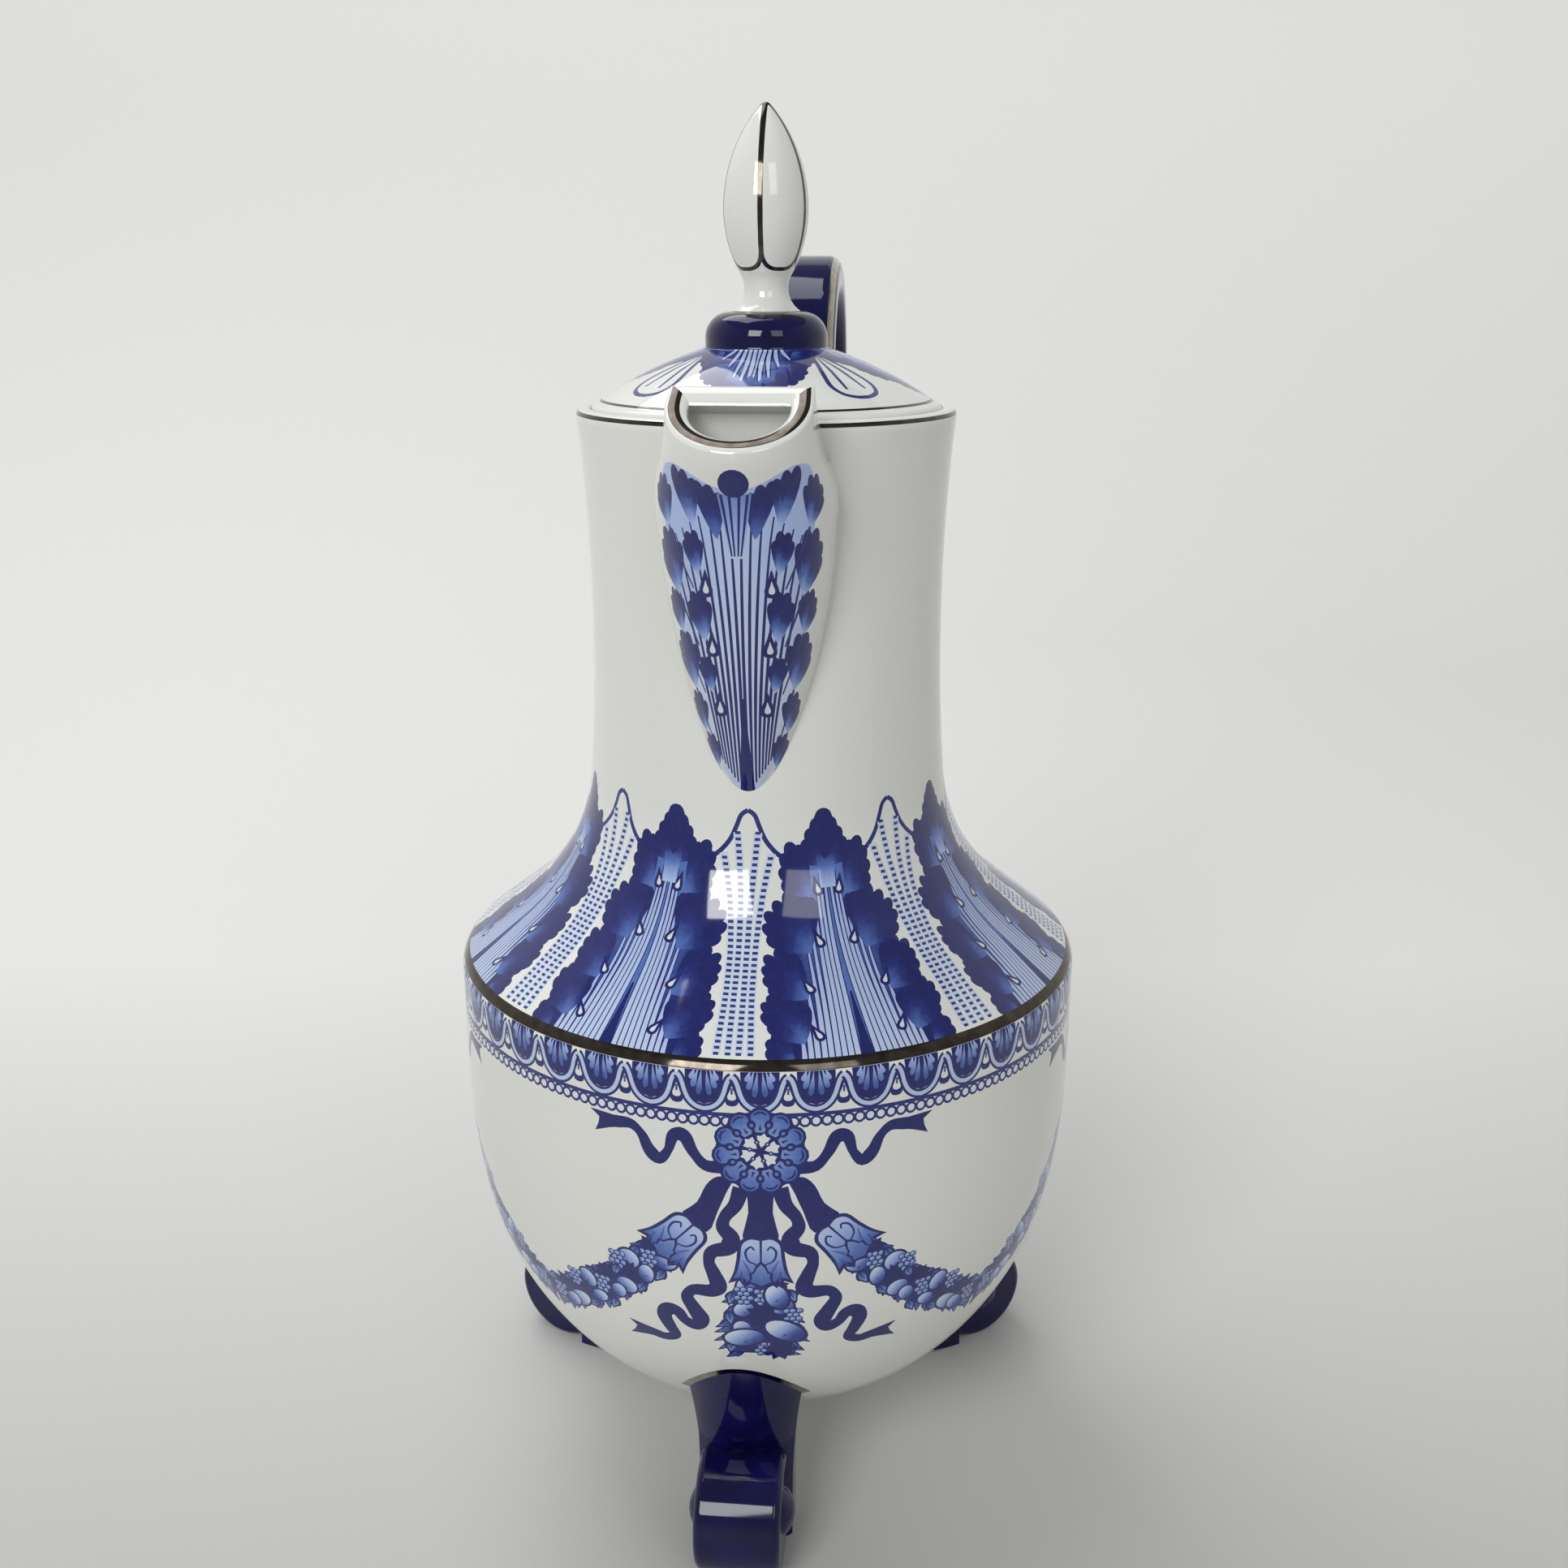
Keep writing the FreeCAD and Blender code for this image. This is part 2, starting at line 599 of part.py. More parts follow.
def draw_handle_path(path):
    """The handle's middle line: out of the neck, up, over the crest and down into the shoulder."""
    joint = worth(HANDLE_LEVEL)
    reach = worth(STUB_REACH)
    rise = size("handle_rise_curve")
    crest = size("handle_crest_curve")
    slope = size("handle_rise_slope")
    rise_centre = (reach, joint + rise)
    rise_end = polar(rise_centre, rise, slope - 90)
    crest_centre = polar(rise_end, crest, slope - 90)
    crest_end = (crest_centre[0] + crest, crest_centre[1])
    landing = (worth(LANDING_REACH), worth(LANDING_LEVEL))
    run = crest_end[0] - landing[0]
    back = (run ** 2 + (crest_end[1] - landing[1]) ** 2) / (2 * run)
    path.start((worth(HANDLE_ROOT), joint))
    stub = path.line((reach, joint))
    up = path.arc(rise_end, rise_centre, left=True)
    over = path.arc(crest_end, crest_centre, left=False)
    down = path.arc(landing, (crest_end[0] - back, crest_end[1]), left=False)
    path.tie("Horizontal", stub)
    path.hold("DistanceX", HANDLE_ROOT, stub, START)
    path.hold("DistanceY", HANDLE_LEVEL, stub, START)
    path.hold("DistanceX", STUB_REACH, stub, END)
    path.hold("Radius", "sizes.handle_rise_curve", up)
    path.hold("Radius", "sizes.handle_crest_curve", over)
    path.hold("DistanceX", CREST_REACH, over, CENTRE)
    path.tie("Horizontal", over, CENTRE, over, START)
    path.hold("DistanceX", LANDING_REACH, down, START)
    path.hold("DistanceY", LANDING_LEVEL, down, START)


def draw_strap_section(section):
    """The strap's section at its root: a flat oblong with rounded corners."""
    middle = worth(HANDLE_LEVEL)
    half = size("handle_width") / 2
    thin = size("handle_thickness") / 2
    bend = size("handle_round")
    inner = (half - bend, thin - bend)
    section.start((-inner[0], middle - thin))
    low = section.line((inner[0], middle - thin))
    corners = [section.arc((half, middle - inner[1]), (inner[0], middle - inner[1]), left=True)]
    right = section.line((half, middle + inner[1]), smooth=True)
    corners.append(section.arc((inner[0], middle + thin), (inner[0], middle + inner[1]), left=True))
    high = section.line((-inner[0], middle + thin), smooth=True)
    corners.append(section.arc((-half, middle + inner[1]), (-inner[0], middle + inner[1]), left=True))
    left = section.line((-half, middle - inner[1]), smooth=True)
    last = section.arc((-inner[0], middle - thin), (-inner[0], middle - inner[1]), left=True)
    section.close(smooth=True)
    for side in (low, high):
        section.tie("Horizontal", side)
    for side in (left, right):
        section.tie("Vertical", side)
    for corner in corners:
        section.tie("Equal", last, corner)
    section.hold("Radius", "sizes.handle_round", last)
    section.hold("DistanceX", "sizes.handle_width / 2", right, END)
    section.hold("DistanceX", "-sizes.handle_width / 2", left, END)
    section.hold("DistanceY", f"{HANDLE_LEVEL} - sizes.handle_thickness / 2", low, START)
    section.hold("DistanceY", f"{HANDLE_LEVEL} + sizes.handle_thickness / 2", high, START)
    section.lift(HANDLE_ROOT)


def make_handle(core):
    """The strap handle: leaves the neck level, loops over its crest and lands on the shoulder."""
    body = new_body("strap")
    path = Outline(body, "handle_path", "XZ_Plane")
    draw_handle_path(path)
    section = Outline(body, "handle_section", "YZ_Plane")
    draw_strap_section(section)
    doc.recompute()
    sweep = body.newObject("PartDesign::AdditivePipe", "strap_sweep")
    sweep.Profile = section.sketch
    sweep.Spine = (path.sketch, [f"Edge{i + 1}" for i in range(path.sketch.GeometryCount)])
    turn_to(body, HANDLE_SIDE)
    return cut("handle", body, core)


def draw_leg_side(outline):
    """The leg from the side, measured from the upright axis that its front is crowned about."""
    crevice = (size("leg_crown"), worth(CREVICE_LEVEL))
    head = (worth(f"{LEG_HEAD} - {CROWN_AXIS}"), worth(LEG_TOP))
    rear = worth(LEG_REAR)
    toe = worth(LEG_TOE)
    heel = toe - rear
    outline.shift(CROWN_AXIS)
    outline.start(crevice)
    front = outline.arc(head, bowed(crevice, head, size("leg_cove")), left=False, smooth=False)
    cap = outline.line((rear, head[1]))
    back = outline.line((rear, heel))
    outline.arc((toe, 0), (toe, heel), left=True)
    chord = outline.line(crevice)
    outline.close()
    outline.tie("Horizontal", cap)
    outline.tie("Vertical", back)
    outline.hold("Radius", "sizes.leg_cove", front)
    outline.hold("DistanceX", f"{LEG_HEAD} - {CROWN_AXIS}", cap, START)
    outline.hold("DistanceY", LEG_TOP, cap, START)
    outline.hold("DistanceX", LEG_REAR, back, START)
    outline.hold("DistanceY", f"{LEG_TOE} - {LEG_REAR}", back, END)
    outline.hold("DistanceX", LEG_TOE, chord, START)
    outline.tie("PointOnObject", chord, START, AXIS_X)
    outline.hold("DistanceX", "sizes.leg_crown", chord, END)
    outline.hold("DistanceY", CREVICE_LEVEL, chord, END)


def draw_roll_half(outline):
    """Half a section of the roll through its axle: soft edges, and a domed boss on each side."""
    radius = size("roll_radius")
    half = size("roll_width") / 2
    bend = size("roll_round")
    boss = size("boss_width") / 2
    height = size("boss_height")
    dome = (boss ** 2 + height ** 2) / (2 * height)
    crown = half + height
    outline.shift(FOOT_REACH)
    outline.lift(ROLL_LEVEL)
    outline.start((0, -crown))
    low_boss = outline.arc((boss, -half), (0, dome - crown), left=True)
    low_side = outline.line((radius - bend, -half))
    low_edge = outline.arc((radius, bend - half), (radius - bend, bend - half), left=True)
    tread = outline.line((radius, half - bend), smooth=True)
    high_edge = outline.arc((radius - bend, half), (radius - bend, half - bend), left=True)
    high_side = outline.line((boss, half), smooth=True)
    high_boss = outline.arc((0, crown), (0, crown - dome), left=True, smooth=False)
    axle = outline.line((0, -crown))
    outline.close()
    for side in (low_side, high_side):
        outline.tie("Horizontal", side)
    outline.tie("Vertical", tread)
    outline.hold("DistanceX", "sizes.roll_radius", tread, START)
    for edge in (low_edge, high_edge):
        outline.hold("Radius", "sizes.roll_round", edge)
    for side, place, sign in ((low_side, START, "-"), (high_side, END, "")):
        outline.hold("DistanceX", "sizes.boss_width / 2", side, place)
        outline.hold("DistanceY", f"{sign}sizes.roll_width / 2", side, place)
    for boss_arc in (low_boss, high_boss):
        outline.tie("PointOnObject", boss_arc, CENTRE, AXIS_Y)
    for place, sign in ((START, ""), (END, "-")):
        outline.tie("PointOnObject", axle, place, AXIS_Y)
        outline.hold("DistanceY", f"{sign}(sizes.roll_width / 2 + sizes.boss_height)", axle, place)


def draw_flank(outline, side):
    """What is trimmed from one flank of the foot, so that the leg spreads towards the pot."""
    narrow = size("leg_waist_width") / 2
    wide = size("leg_top_width") / 2
    low = size("roll_radius")
    top = worth(LEG_FLARE_TOP)
    ceiling = worth(LEG_TOP) + low
    far = worth(LEG_HEAD)
    bend = ((wide - narrow) ** 2 + (top - low) ** 2) / (2 * (wide - narrow))
    outline.start((side * narrow, -low))
    edge = outline.line((side * narrow, low))
    outline.arc((side * wide, top), (side * (narrow + bend), low), left=side < 0)
    post = outline.line((side * wide, ceiling))
    over = outline.line((side * far, ceiling))
    outer = outline.line((side * far, -low))
    under = outline.line((side * narrow, -low))
    outline.close()
    for upright in (edge, post, outer):
        outline.tie("Vertical", upright)
    for level in (over, under):
        outline.tie("Horizontal", level)
    outline.hold("DistanceX", f"{side} * sizes.leg_waist_width / 2", edge, START)
    outline.hold("DistanceY", "-sizes.roll_radius", edge, START)
    outline.hold("DistanceY", "sizes.roll_radius", edge, END)
    outline.hold("DistanceX", f"{side} * sizes.leg_top_width / 2", post, START)
    outline.hold("DistanceY", LEG_FLARE_TOP, post, START)
    outline.hold("DistanceX", f"{side} * {LEG_HEAD}", over, END)
    outline.hold("DistanceY", f"{LEG_TOP} + sizes.roll_radius", over, END)


def make_foot(name, degrees, core):
    """One scroll foot: a crowned leg that ends in a roll, standing on a small flat."""
    body = new_body(name + "_casting")
    leg = Outline(body, name + "_leg", "XZ_Plane")
    draw_leg_side(leg)
    revolve(body, leg, LEG_SWEEP)
    flanks = Outline(body, name + "_flanks", "YZ_Plane")
    for direction in (1, -1):
        draw_flank(flanks, direction)
    trim(body, flanks)
    roll = Outline(body, name + "_roll", "XY_Plane")
    draw_roll_half(roll)
    revolve(body, roll)
    inner = f"({FOOT_REACH} - sizes.roll_radius)"
    outer = f"({FOOT_REACH} + sizes.roll_radius)"
    ground = [(inner, "0"), (inner, "-sizes.roll_radius"), (outer, "-sizes.roll_radius"), (outer, "0")]
    trim(body, polygon(body, name + "_ground", ground))
    turn_to(body, degrees)
    return cut(name, body, core)


def make_lid():
    """The lid: a hollow dome with a cushion collar, an edge that sits in the gallery and a skirt."""
    body = new_body("lid")
    outline = Outline(body, "lid_outline", "XZ_Plane")
    ledge = worth(LEDGE_LEVEL)
    rim_radius = worth(LID_RADIUS)
    skirt = worth(SKIRT_RADIUS)
    inside = skirt - size("lid_skirt_wall")
    skirt_end = ledge - size("lid_skirt_depth")
    summit = worth(COLLAR_TOP)
    flat = worth(COLLAR_FLAT)
    collar_foot = (worth(COLLAR_RADIUS), worth(COLLAR_FOOT))
    cushion_centre = (flat, summit - size("collar_round"))
    edge_centre = (rim_radius - size("lid_edge_round"), worth(LID_EDGE_TOP) - size("lid_edge_round"))
    dome_end = (edge_centre[0], worth(LID_EDGE_TOP))
    middle = bowed(collar_foot, dome_end, size("lid_dome_curve"))
    under = size("lid_dome_curve") - size("lid_thickness")
    ceiling = middle[1] + math.sqrt(under ** 2 - (flat - middle[0]) ** 2)
    spring = middle[1] + math.sqrt(under ** 2 - (inside - middle[0]) ** 2)
    outline.start((0, summit))
    top = outline.line((flat, summit))
    cushion = outline.arc((collar_foot[0], cushion_centre[1]), cushion_centre, left=False)
    side = outline.line(collar_foot, smooth=True)
    dome = outline.arc(dome_end, middle, left=False, smooth=False)
    edge = outline.arc((rim_radius, edge_centre[1]), edge_centre, left=False, smooth=False)
    rim = outline.line((rim_radius, ledge), smooth=True)
    seat = outline.line((skirt, ledge))
    outer = outline.line((skirt, skirt_end))
    bottom = outline.line((inside, skirt_end))
    inner = outline.line((inside, spring))
    vault = outline.arc((flat, ceiling), middle, left=True, smooth=False)
    roof = outline.line((0, ceiling))
    axis = outline.line((0, summit))
    outline.close()
    for level in (top, seat, bottom, roof):
        outline.tie("Horizontal", level)
    for upright in (side, rim, outer, inner):
        outline.tie("Vertical", upright)
    outline.tie("PointOnObject", axis, START, AXIS_Y)
    outline.tie("PointOnObject", axis, END, AXIS_Y)
    outline.hold("DistanceY", COLLAR_TOP, top, START)
    outline.hold("Radius", "sizes.collar_round", cushion)
    outline.hold("DistanceX", COLLAR_RADIUS, side, END)
    outline.hold("DistanceY", COLLAR_FOOT, side, END)
    outline.hold("Radius", "sizes.lid_dome_curve", dome)
    outline.hold("Radius", "sizes.lid_edge_round", edge)
    outline.hold("DistanceY", LID_EDGE_TOP, edge, END)
    outline.tie("Vertical", edge, END, edge, CENTRE)
    outline.hold("DistanceX", LID_RADIUS, rim, END)
    outline.hold("DistanceY", LEDGE_LEVEL, rim, END)
    outline.hold("DistanceX", SKIRT_RADIUS, outer, END)
    outline.hold("DistanceY", f"{LEDGE_LEVEL} - sizes.lid_skirt_depth", outer, END)
    outline.hold("DistanceX", f"{SKIRT_RADIUS} - sizes.lid_skirt_wall", inner, START)
    outline.tie("Coincident", vault, CENTRE, dome, CENTRE)
    outline.hold("Radius", "sizes.lid_dome_curve - sizes.lid_thickness", vault)
    outline.hold("DistanceX", COLLAR_FLAT, roof, START)
    revolve(body, outline)
    return body


def make_finial():
    """The bud finial: a waisted stem and a pointed bud, stuck on the collar's flat top."""
    body = new_body("finial")
    outline = Outline(body, "finial_outline", "XZ_Plane")
    foot = worth(COLLAR_TOP)
    stem = worth(STEM_CURVE)
    stem_centre = (size("stem_radius") + stem, foot + size("stem_height"))
    bud = (size("bud_radius"), foot + size("bud_height"))
    tip = (size("tip_radius"), foot + size("finial_height"))
    across = bud[0] - stem_centre[0]
    above = bud[1] - stem_centre[1]
    lower = (across ** 2 + above ** 2 - stem ** 2) / (2 * (stem + across))
    lower_centre = (bud[0] - lower, bud[1])
    share = lower / (lower + stem)
    joint = tuple(c + share * (s - c) for c, s in zip(lower_centre, stem_centre))
    upper = ((bud[0] - tip[0]) ** 2 + (tip[1] - bud[1]) ** 2) / (2 * (bud[0] - tip[0]))
    outline.start((0, foot))
    base = outline.line((size("finial_foot_radius"), foot))
    waist = outline.arc(joint, stem_centre, left=False, smooth=False)
    cup = outline.arc(bud, lower_centre, left=True)
    outline.arc(tip, (bud[0] - upper, bud[1]), left=True)
    end = outline.line((0, tip[1]))
    axis = outline.line((0, foot))
    outline.close()
    outline.tie("Horizontal", base)
    outline.tie("Horizontal", end)
    outline.tie("PointOnObject", axis, START, AXIS_Y)
    outline.tie("PointOnObject", axis, END, AXIS_Y)
    outline.hold("DistanceY", COLLAR_TOP, base, START)
    outline.hold("DistanceX", "sizes.finial_foot_radius", base, END)
    outline.hold("DistanceX", f"sizes.stem_radius + {STEM_CURVE}", waist, CENTRE)
    outline.hold("DistanceY", f"{COLLAR_TOP} + sizes.stem_height", waist, CENTRE)
    outline.hold("DistanceY", f"{COLLAR_TOP} + sizes.bud_height", cup, CENTRE)
    outline.hold("DistanceX", "sizes.bud_radius", cup, END)
    outline.hold("DistanceY", f"{COLLAR_TOP} + sizes.bud_height", cup, END)
    outline.hold("DistanceX", "sizes.tip_radius", end, START)
    outline.hold("DistanceY", f"{COLLAR_TOP} + sizes.finial_height", end, START)
    revolve(body, outline)
    return body


def build():
    """Makes every sub-part and returns them."""
    core = make_core()
    pieces = [make_pot_body(core), make_spout(core), make_handle(core)]
    pieces += [make_foot(name, degrees, core) for name, degrees in FOOT_SIDES.items()]
    pieces += [make_lid(), make_finial()]
    for piece in pieces:
        piece.setExpression("Placement.Base.y", AXIS_SETBACK)
    doc.recompute()
    return pieces


def check(pieces):
    """Stops if an object failed, or if a sub-part isn't one sound solid."""
    failed = [item.Name for item in doc.Objects if {"Invalid", "Error"} & set(item.State)]
    if failed:
        raise RuntimeError(f"failed objects: {failed}")
    for piece in pieces:
        shape = piece.Shape
        if shape.isNull() or not shape.isValid() or len(shape.Solids) != 1:
            raise RuntimeError(f"{piece.Label}: not one valid solid")


def write(pieces):
    """Writes each sub-part to its own file."""
    os.makedirs("parts", exist_ok=True)
    for piece in pieces:
        print(f"{piece.Label}: {piece.Shape.Volume:.0f} mm3")
        piece.Shape.exportStep(f"parts/{piece.Label}.step")


parts = build()
check(parts)
write(parts)
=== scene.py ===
"""Looks of the porcelain coffee pot: glaze, print and platinum lines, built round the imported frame.

Blender works in metres, +Z up. Drawings are in millimetres about the pot's own axis, with the spout towards
-Y. Flat drawings use complex numbers: a turned outline is radius + height j, artwork is across + up j.
"""
import math
import random

import bpy
import numpy as np
from mathutils import Matrix, Vector
from mathutils.geometry import delaunay_2d_cdt


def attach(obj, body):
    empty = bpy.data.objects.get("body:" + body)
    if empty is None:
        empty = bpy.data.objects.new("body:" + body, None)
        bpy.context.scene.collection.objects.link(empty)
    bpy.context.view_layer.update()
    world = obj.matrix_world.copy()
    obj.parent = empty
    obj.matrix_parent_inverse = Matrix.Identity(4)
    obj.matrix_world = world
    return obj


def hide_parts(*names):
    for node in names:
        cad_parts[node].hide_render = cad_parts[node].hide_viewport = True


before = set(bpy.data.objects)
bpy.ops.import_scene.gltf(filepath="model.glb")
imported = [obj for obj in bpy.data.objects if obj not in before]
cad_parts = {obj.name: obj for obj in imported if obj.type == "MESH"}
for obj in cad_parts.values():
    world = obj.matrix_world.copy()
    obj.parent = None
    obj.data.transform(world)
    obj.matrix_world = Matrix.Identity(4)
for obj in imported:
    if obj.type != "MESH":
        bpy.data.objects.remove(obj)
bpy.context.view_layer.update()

MM = 0.001
# The pot's axis stands in front of the frame's origin.
AXIS_PLACE = Vector((0.0, -20.422, 0.0))

# The photograph: a square image taken close up, with the camera swung a little to the spout's left.
IMAGE_SIDE = 1932
FOCAL_PIXELS = 2050
SENSOR = 36.0
CAMERA_SWING = math.radians(5.3)
CAMERA_PITCH = math.radians(17.22)
CAMERA_PLACE = (3.46, -337.9, 255.05)

# Depths of ink, from bare glaze to solid blue, and the mark for a fired metal line.
WHITE, PALE, LIGHT, MID, DEEP = 0.0, 0.14, 0.34, 0.64, 1.0
PLATINUM = -1.0
# Cells round a turned ring, and the radius at which a turned surface is laid flat.
COLUMNS, PLANE = 320, 50.0
# How far a metal strip stands off what it lies on.
RAISED = 0.04
# How much of its true room an inner side gets in a texture chart.
HIDDEN_SHARE = 0.1
# Points of a mesh that fall in one grain are joined; a millimetre has this many grains.
GRAINS = 2000
# How near each other two points of a drawing are taken as one, on the plane.
NEAR = 1e-5
# Steps in a radian of an outline's round, and the fewest in one round.
ROUND_STEPS, FEWEST_STEPS = 90, 6


def lengths_along(points):
    """How far along a line each of its points lies."""
    return np.concatenate([[0], np.cumsum(np.abs(np.diff(points)))])


def spread(values, share):
    """A value at some share of the way through evenly spread ones."""
    return np.interp(share, np.linspace(0, 1, len(values)), values)


class Rail:
    """A turned outline, measured along its length. Its surface faces the right of the way along it."""

    def __init__(self, start, *moves):
        """Goes straight to each point, or round a centre where a move is (centre, point)."""
        points = [start]
        for move in moves:
            centre, end = move if isinstance(move, tuple) else (None, move)
            if centre is not None:
                spoke = points[-1] - centre
                turn = np.angle((end - centre) / spoke)
                steps = max(FEWEST_STEPS, int(abs(turn) * ROUND_STEPS))
                points.extend(centre + spoke * np.exp(1j * turn * np.arange(1, steps) / steps))
            points.append(end)
        self.points = np.array(points)
        self.lengths = lengths_along(self.points)
        self.bottom = int(np.argmin(self.points.imag))
        self.top = int(np.argmax(self.points.imag))
        self.hidden = self.lengths[self.top] if self.top + 1 < len(points) else self.lengths[-1]

    def chart(self, along):
        """The place up a texture chart, where the inner side takes little room."""
        return np.where(along > self.hidden, self.hidden + HIDDEN_SHARE * (along - self.hidden), along)

    def at(self, along):
        """The outline's point at a length."""
        return (np.interp(along, self.lengths, self.points.real)
                + 1j * np.interp(along, self.lengths, self.points.imag))

    def facing(self, along):
        """The surface's direction outwards, from the points a little to each side."""
        reach = 0.35
        way = self.at(np.minimum(along + reach, self.lengths[-1])) - self.at(np.maximum(along - reach, 0))
        return -1j * way / np.abs(way)

    def outside(self, height):
        """The length at which the outer side passes a height."""
        side = slice(self.bottom, self.top + 1)
        return np.interp(height, self.points.imag[side], self.lengths[side])

    def inside(self, height):
        """The length at which the inner side passes a height."""
        return np.interp(height, self.points.imag[:self.top:-1], self.lengths[:self.top:-1])

    def radius(self, height):
        """The outer side's radius at a height."""
        return self.at(self.outside(height)).real


# Outlines of the body, the lid and the finial and the handle's middle line, with the centres of their rounds.
LOWER, UPPER, EDGE = -1.77 + 76.513j, -90.3 + 92.713j, 60.7 + 114.013j
FLARE, NECK, RIM = 76.076 + 158.057j, 448.7 + 188.013j, 36.18 + 227.513j
BODY = Rail(
    14j, 19.4 + 14j, (LOWER, 63.152 + 64.633j), (UPPER, 65.7 + 92.713j), 65.7 + 114.013j,
    (EDGE, 63.778 + 117.953j), 51.958 + 127.188j, (FLARE, 37.028 + 154.918j), (NECK, 37.68 + 227.513j),
    (RIM, 36.18 + 229.013j), 34.94 + 229.013j, 34.94 + 227.413j, 32.34 + 227.413j, 32.34 + 225.013j,
    34.09 + 222.413j, (NECK, 33.838 + 154.661j), (FLARE, 49.988 + 124.666j), 61.808 + 115.431j,
    (EDGE, 62.5 + 114.013j), 62.5 + 92.713j, (UPPER, 60.004 + 65.209j), (LOWER, 18.866 + 17.2j), 17.2j)
DOME, CUSHION = -11.44 + 163.73j, 7.1 + 242.113j
LID = Rail(
    238.43j, 7.1 + 238.43j, (DOME, 29.64 + 228.84j), 29.64 + 216.413j, 32.04 + 216.413j, 32.04 + 227.413j,
    34.64 + 227.413j, 34.64 + 228.813j, (33.64 + 228.813j, 33.64 + 229.813j), (DOME, 12 + 240.213j),
    12 + 242.113j, (CUSHION, 7.1 + 247.013j), 247.013j)
FINIAL = Rail(
    247.013j, 6.9 + 247.013j, (9.323 + 251.413j, 4.994 + 253.96j), (-15.316 + 265.913j, 8.25 + 265.913j),
    (-19.418 + 265.913j, 0.6 + 285.013j), 285.013j)
HANDLE = Rail(
    36 + 216.013j, 38 + 216.013j, (38 + 232.013j, 53.939 + 230.619j), (78.844 + 228.44j, 103.844 + 228.44j),
    (-49.8 + 228.44j, 56.2 + 117.213j))


def curve(points, steps, closed=False):
    """A smooth line through points."""
    points = np.array(points, complex)
    if closed:
        padded = np.concatenate([points[-1:], points, points[:2]])
    else:
        padded = np.concatenate([[2 * points[0] - points[1]], points, [2 * points[-1] - points[-2]]])
    share = np.arange(steps) / steps
    line = []
    for a, b, c, d in zip(padded, padded[1:], padded[2:], padded[3:]):
        bend = 2 * a - 5 * b + 4 * c - d + share * (3 * (b - c) + d - a)
        line.extend(b + share / 2 * (c - a + share * bend))
    if not closed:
        line.append(points[-1])
    return np.array(line)


def sides(path, widths):
    """The two edges of a band along a path, its right one first."""
    path = np.array(path)
    wide = spread(widths, np.linspace(0, 1, len(path)))
    way = np.gradient(path)
    offset = 0.5j * wide * way / np.abs(way)
    return path - offset, path + offset


def stroke(path, widths, ink):
    """One brush stroke along a gentle path."""
    right, left = sides(path, widths)
    return [(np.concatenate([right, left[::-1]]), ink)]


def ribbon(path, widths, ink):
    """A stroke that may cross itself, made of short lengths."""
    right, left = sides(path, widths)
    ends = zip(right, right[1:], left[1:], left)
    return [(np.array(corners), ink) for corners in ends]


def oval(centre, across, up, turn=0.0, count=14):
    """An ellipse's outline."""
    angle = 2 * math.pi * np.arange(count) / count
    return centre + (across * np.cos(angle) + 1j * up * np.sin(angle)) * np.exp(1j * math.radians(turn))


# Small forms of length one, drawn from the root.
FINGER = np.array([-0.16j, 0.45 - 0.44j, 0.82 - 0.46j, 0.98 - 0.2j,
                   0.98 + 0.2j, 0.82 + 0.46j, 0.45 + 0.44j, 0.16j])
DROP = np.array([0, 0.3 - 0.16j, 0.7 - 0.42j, 0.93 - 0.34j, 1.0, 0.93 + 0.34j, 0.7 + 0.42j, 0.3 + 0.16j])
LEAFLET = np.array([0, 0.3 - 0.4j, 0.55 - 0.42j, 0.62 - 0.3j, 1.0, 0.62 + 0.3j, 0.55 + 0.42j, 0.3 + 0.4j])


def lobe(form, root, tip, width):
    """A small form laid from its root to its tip."""
    way = tip - root
    return root + curve(form.real * way + 1j * form.imag * width * way / abs(way), 2, closed=True)


def star(count, inner, outer, turn=0.0):
    """A jagged outline about the origin, with every other corner further in."""
    corners = np.arange(count)
    return np.where(corners % 2, inner, outer) * np.exp(1j * (2 * math.pi * corners / count + turn))


def spokes(count, turn):
    """Directions spread evenly round a circle, the first one turned by a share of the gap."""
    return np.exp(2j * math.pi * (np.arange(count) + turn) / count)


def remap(shapes, move):
    """Shapes carried elsewhere, together with the places that their ink fades between."""
    moved = []
    for outline, ink in shapes:
        if isinstance(ink, tuple):
            start, first, end, last = ink
            ink = (move(start), first, move(end), last)
        moved.append((move(outline), ink))
    return moved


def mirror(shapes):
    """The same shapes on the other side of the upright axis."""
    flipped = remap(shapes, lambda points: -np.conj(points))
    return [(outline[::-1], ink) for outline, ink in flipped]


def flip(shapes, height):
    """Shapes turned upside down about half a height."""
    return remap(shapes, lambda points: np.conj(points) + 1j * height)


def place(shapes, at, turn=0.0):
    """Shapes turned about their origin and moved."""
    spin = np.exp(1j * math.radians(turn))
    return remap(shapes, lambda points: points * spin + at)


def on_axis(shapes, degrees):
    """Shapes together with the meridian that they are drawn about."""
    return [(outline, ink, math.radians(degrees)) for outline, ink in shapes]


def cluster(root, tips, width, tone=MID):
    """A tuft of leaf fingers, lighter at its root."""
    shapes = []
    for tip in tips:
        ink = (root, tone, root + 0.6 * (tip - root), DEEP)
        shapes.append((lobe(FINGER, root, tip, width), ink))
    return shapes


def bead_drop(at, way, length=4.2):
    """A pale drop in a dark outline."""
    tip = at + length * way
    inner = at + 0.40 * length * way
    return [
        (lobe(DROP, at, tip, 0.60 * length), DEEP),
        (lobe(DROP, inner, inner + 0.46 * length * way, 0.26 * length), 0.08),
    ]


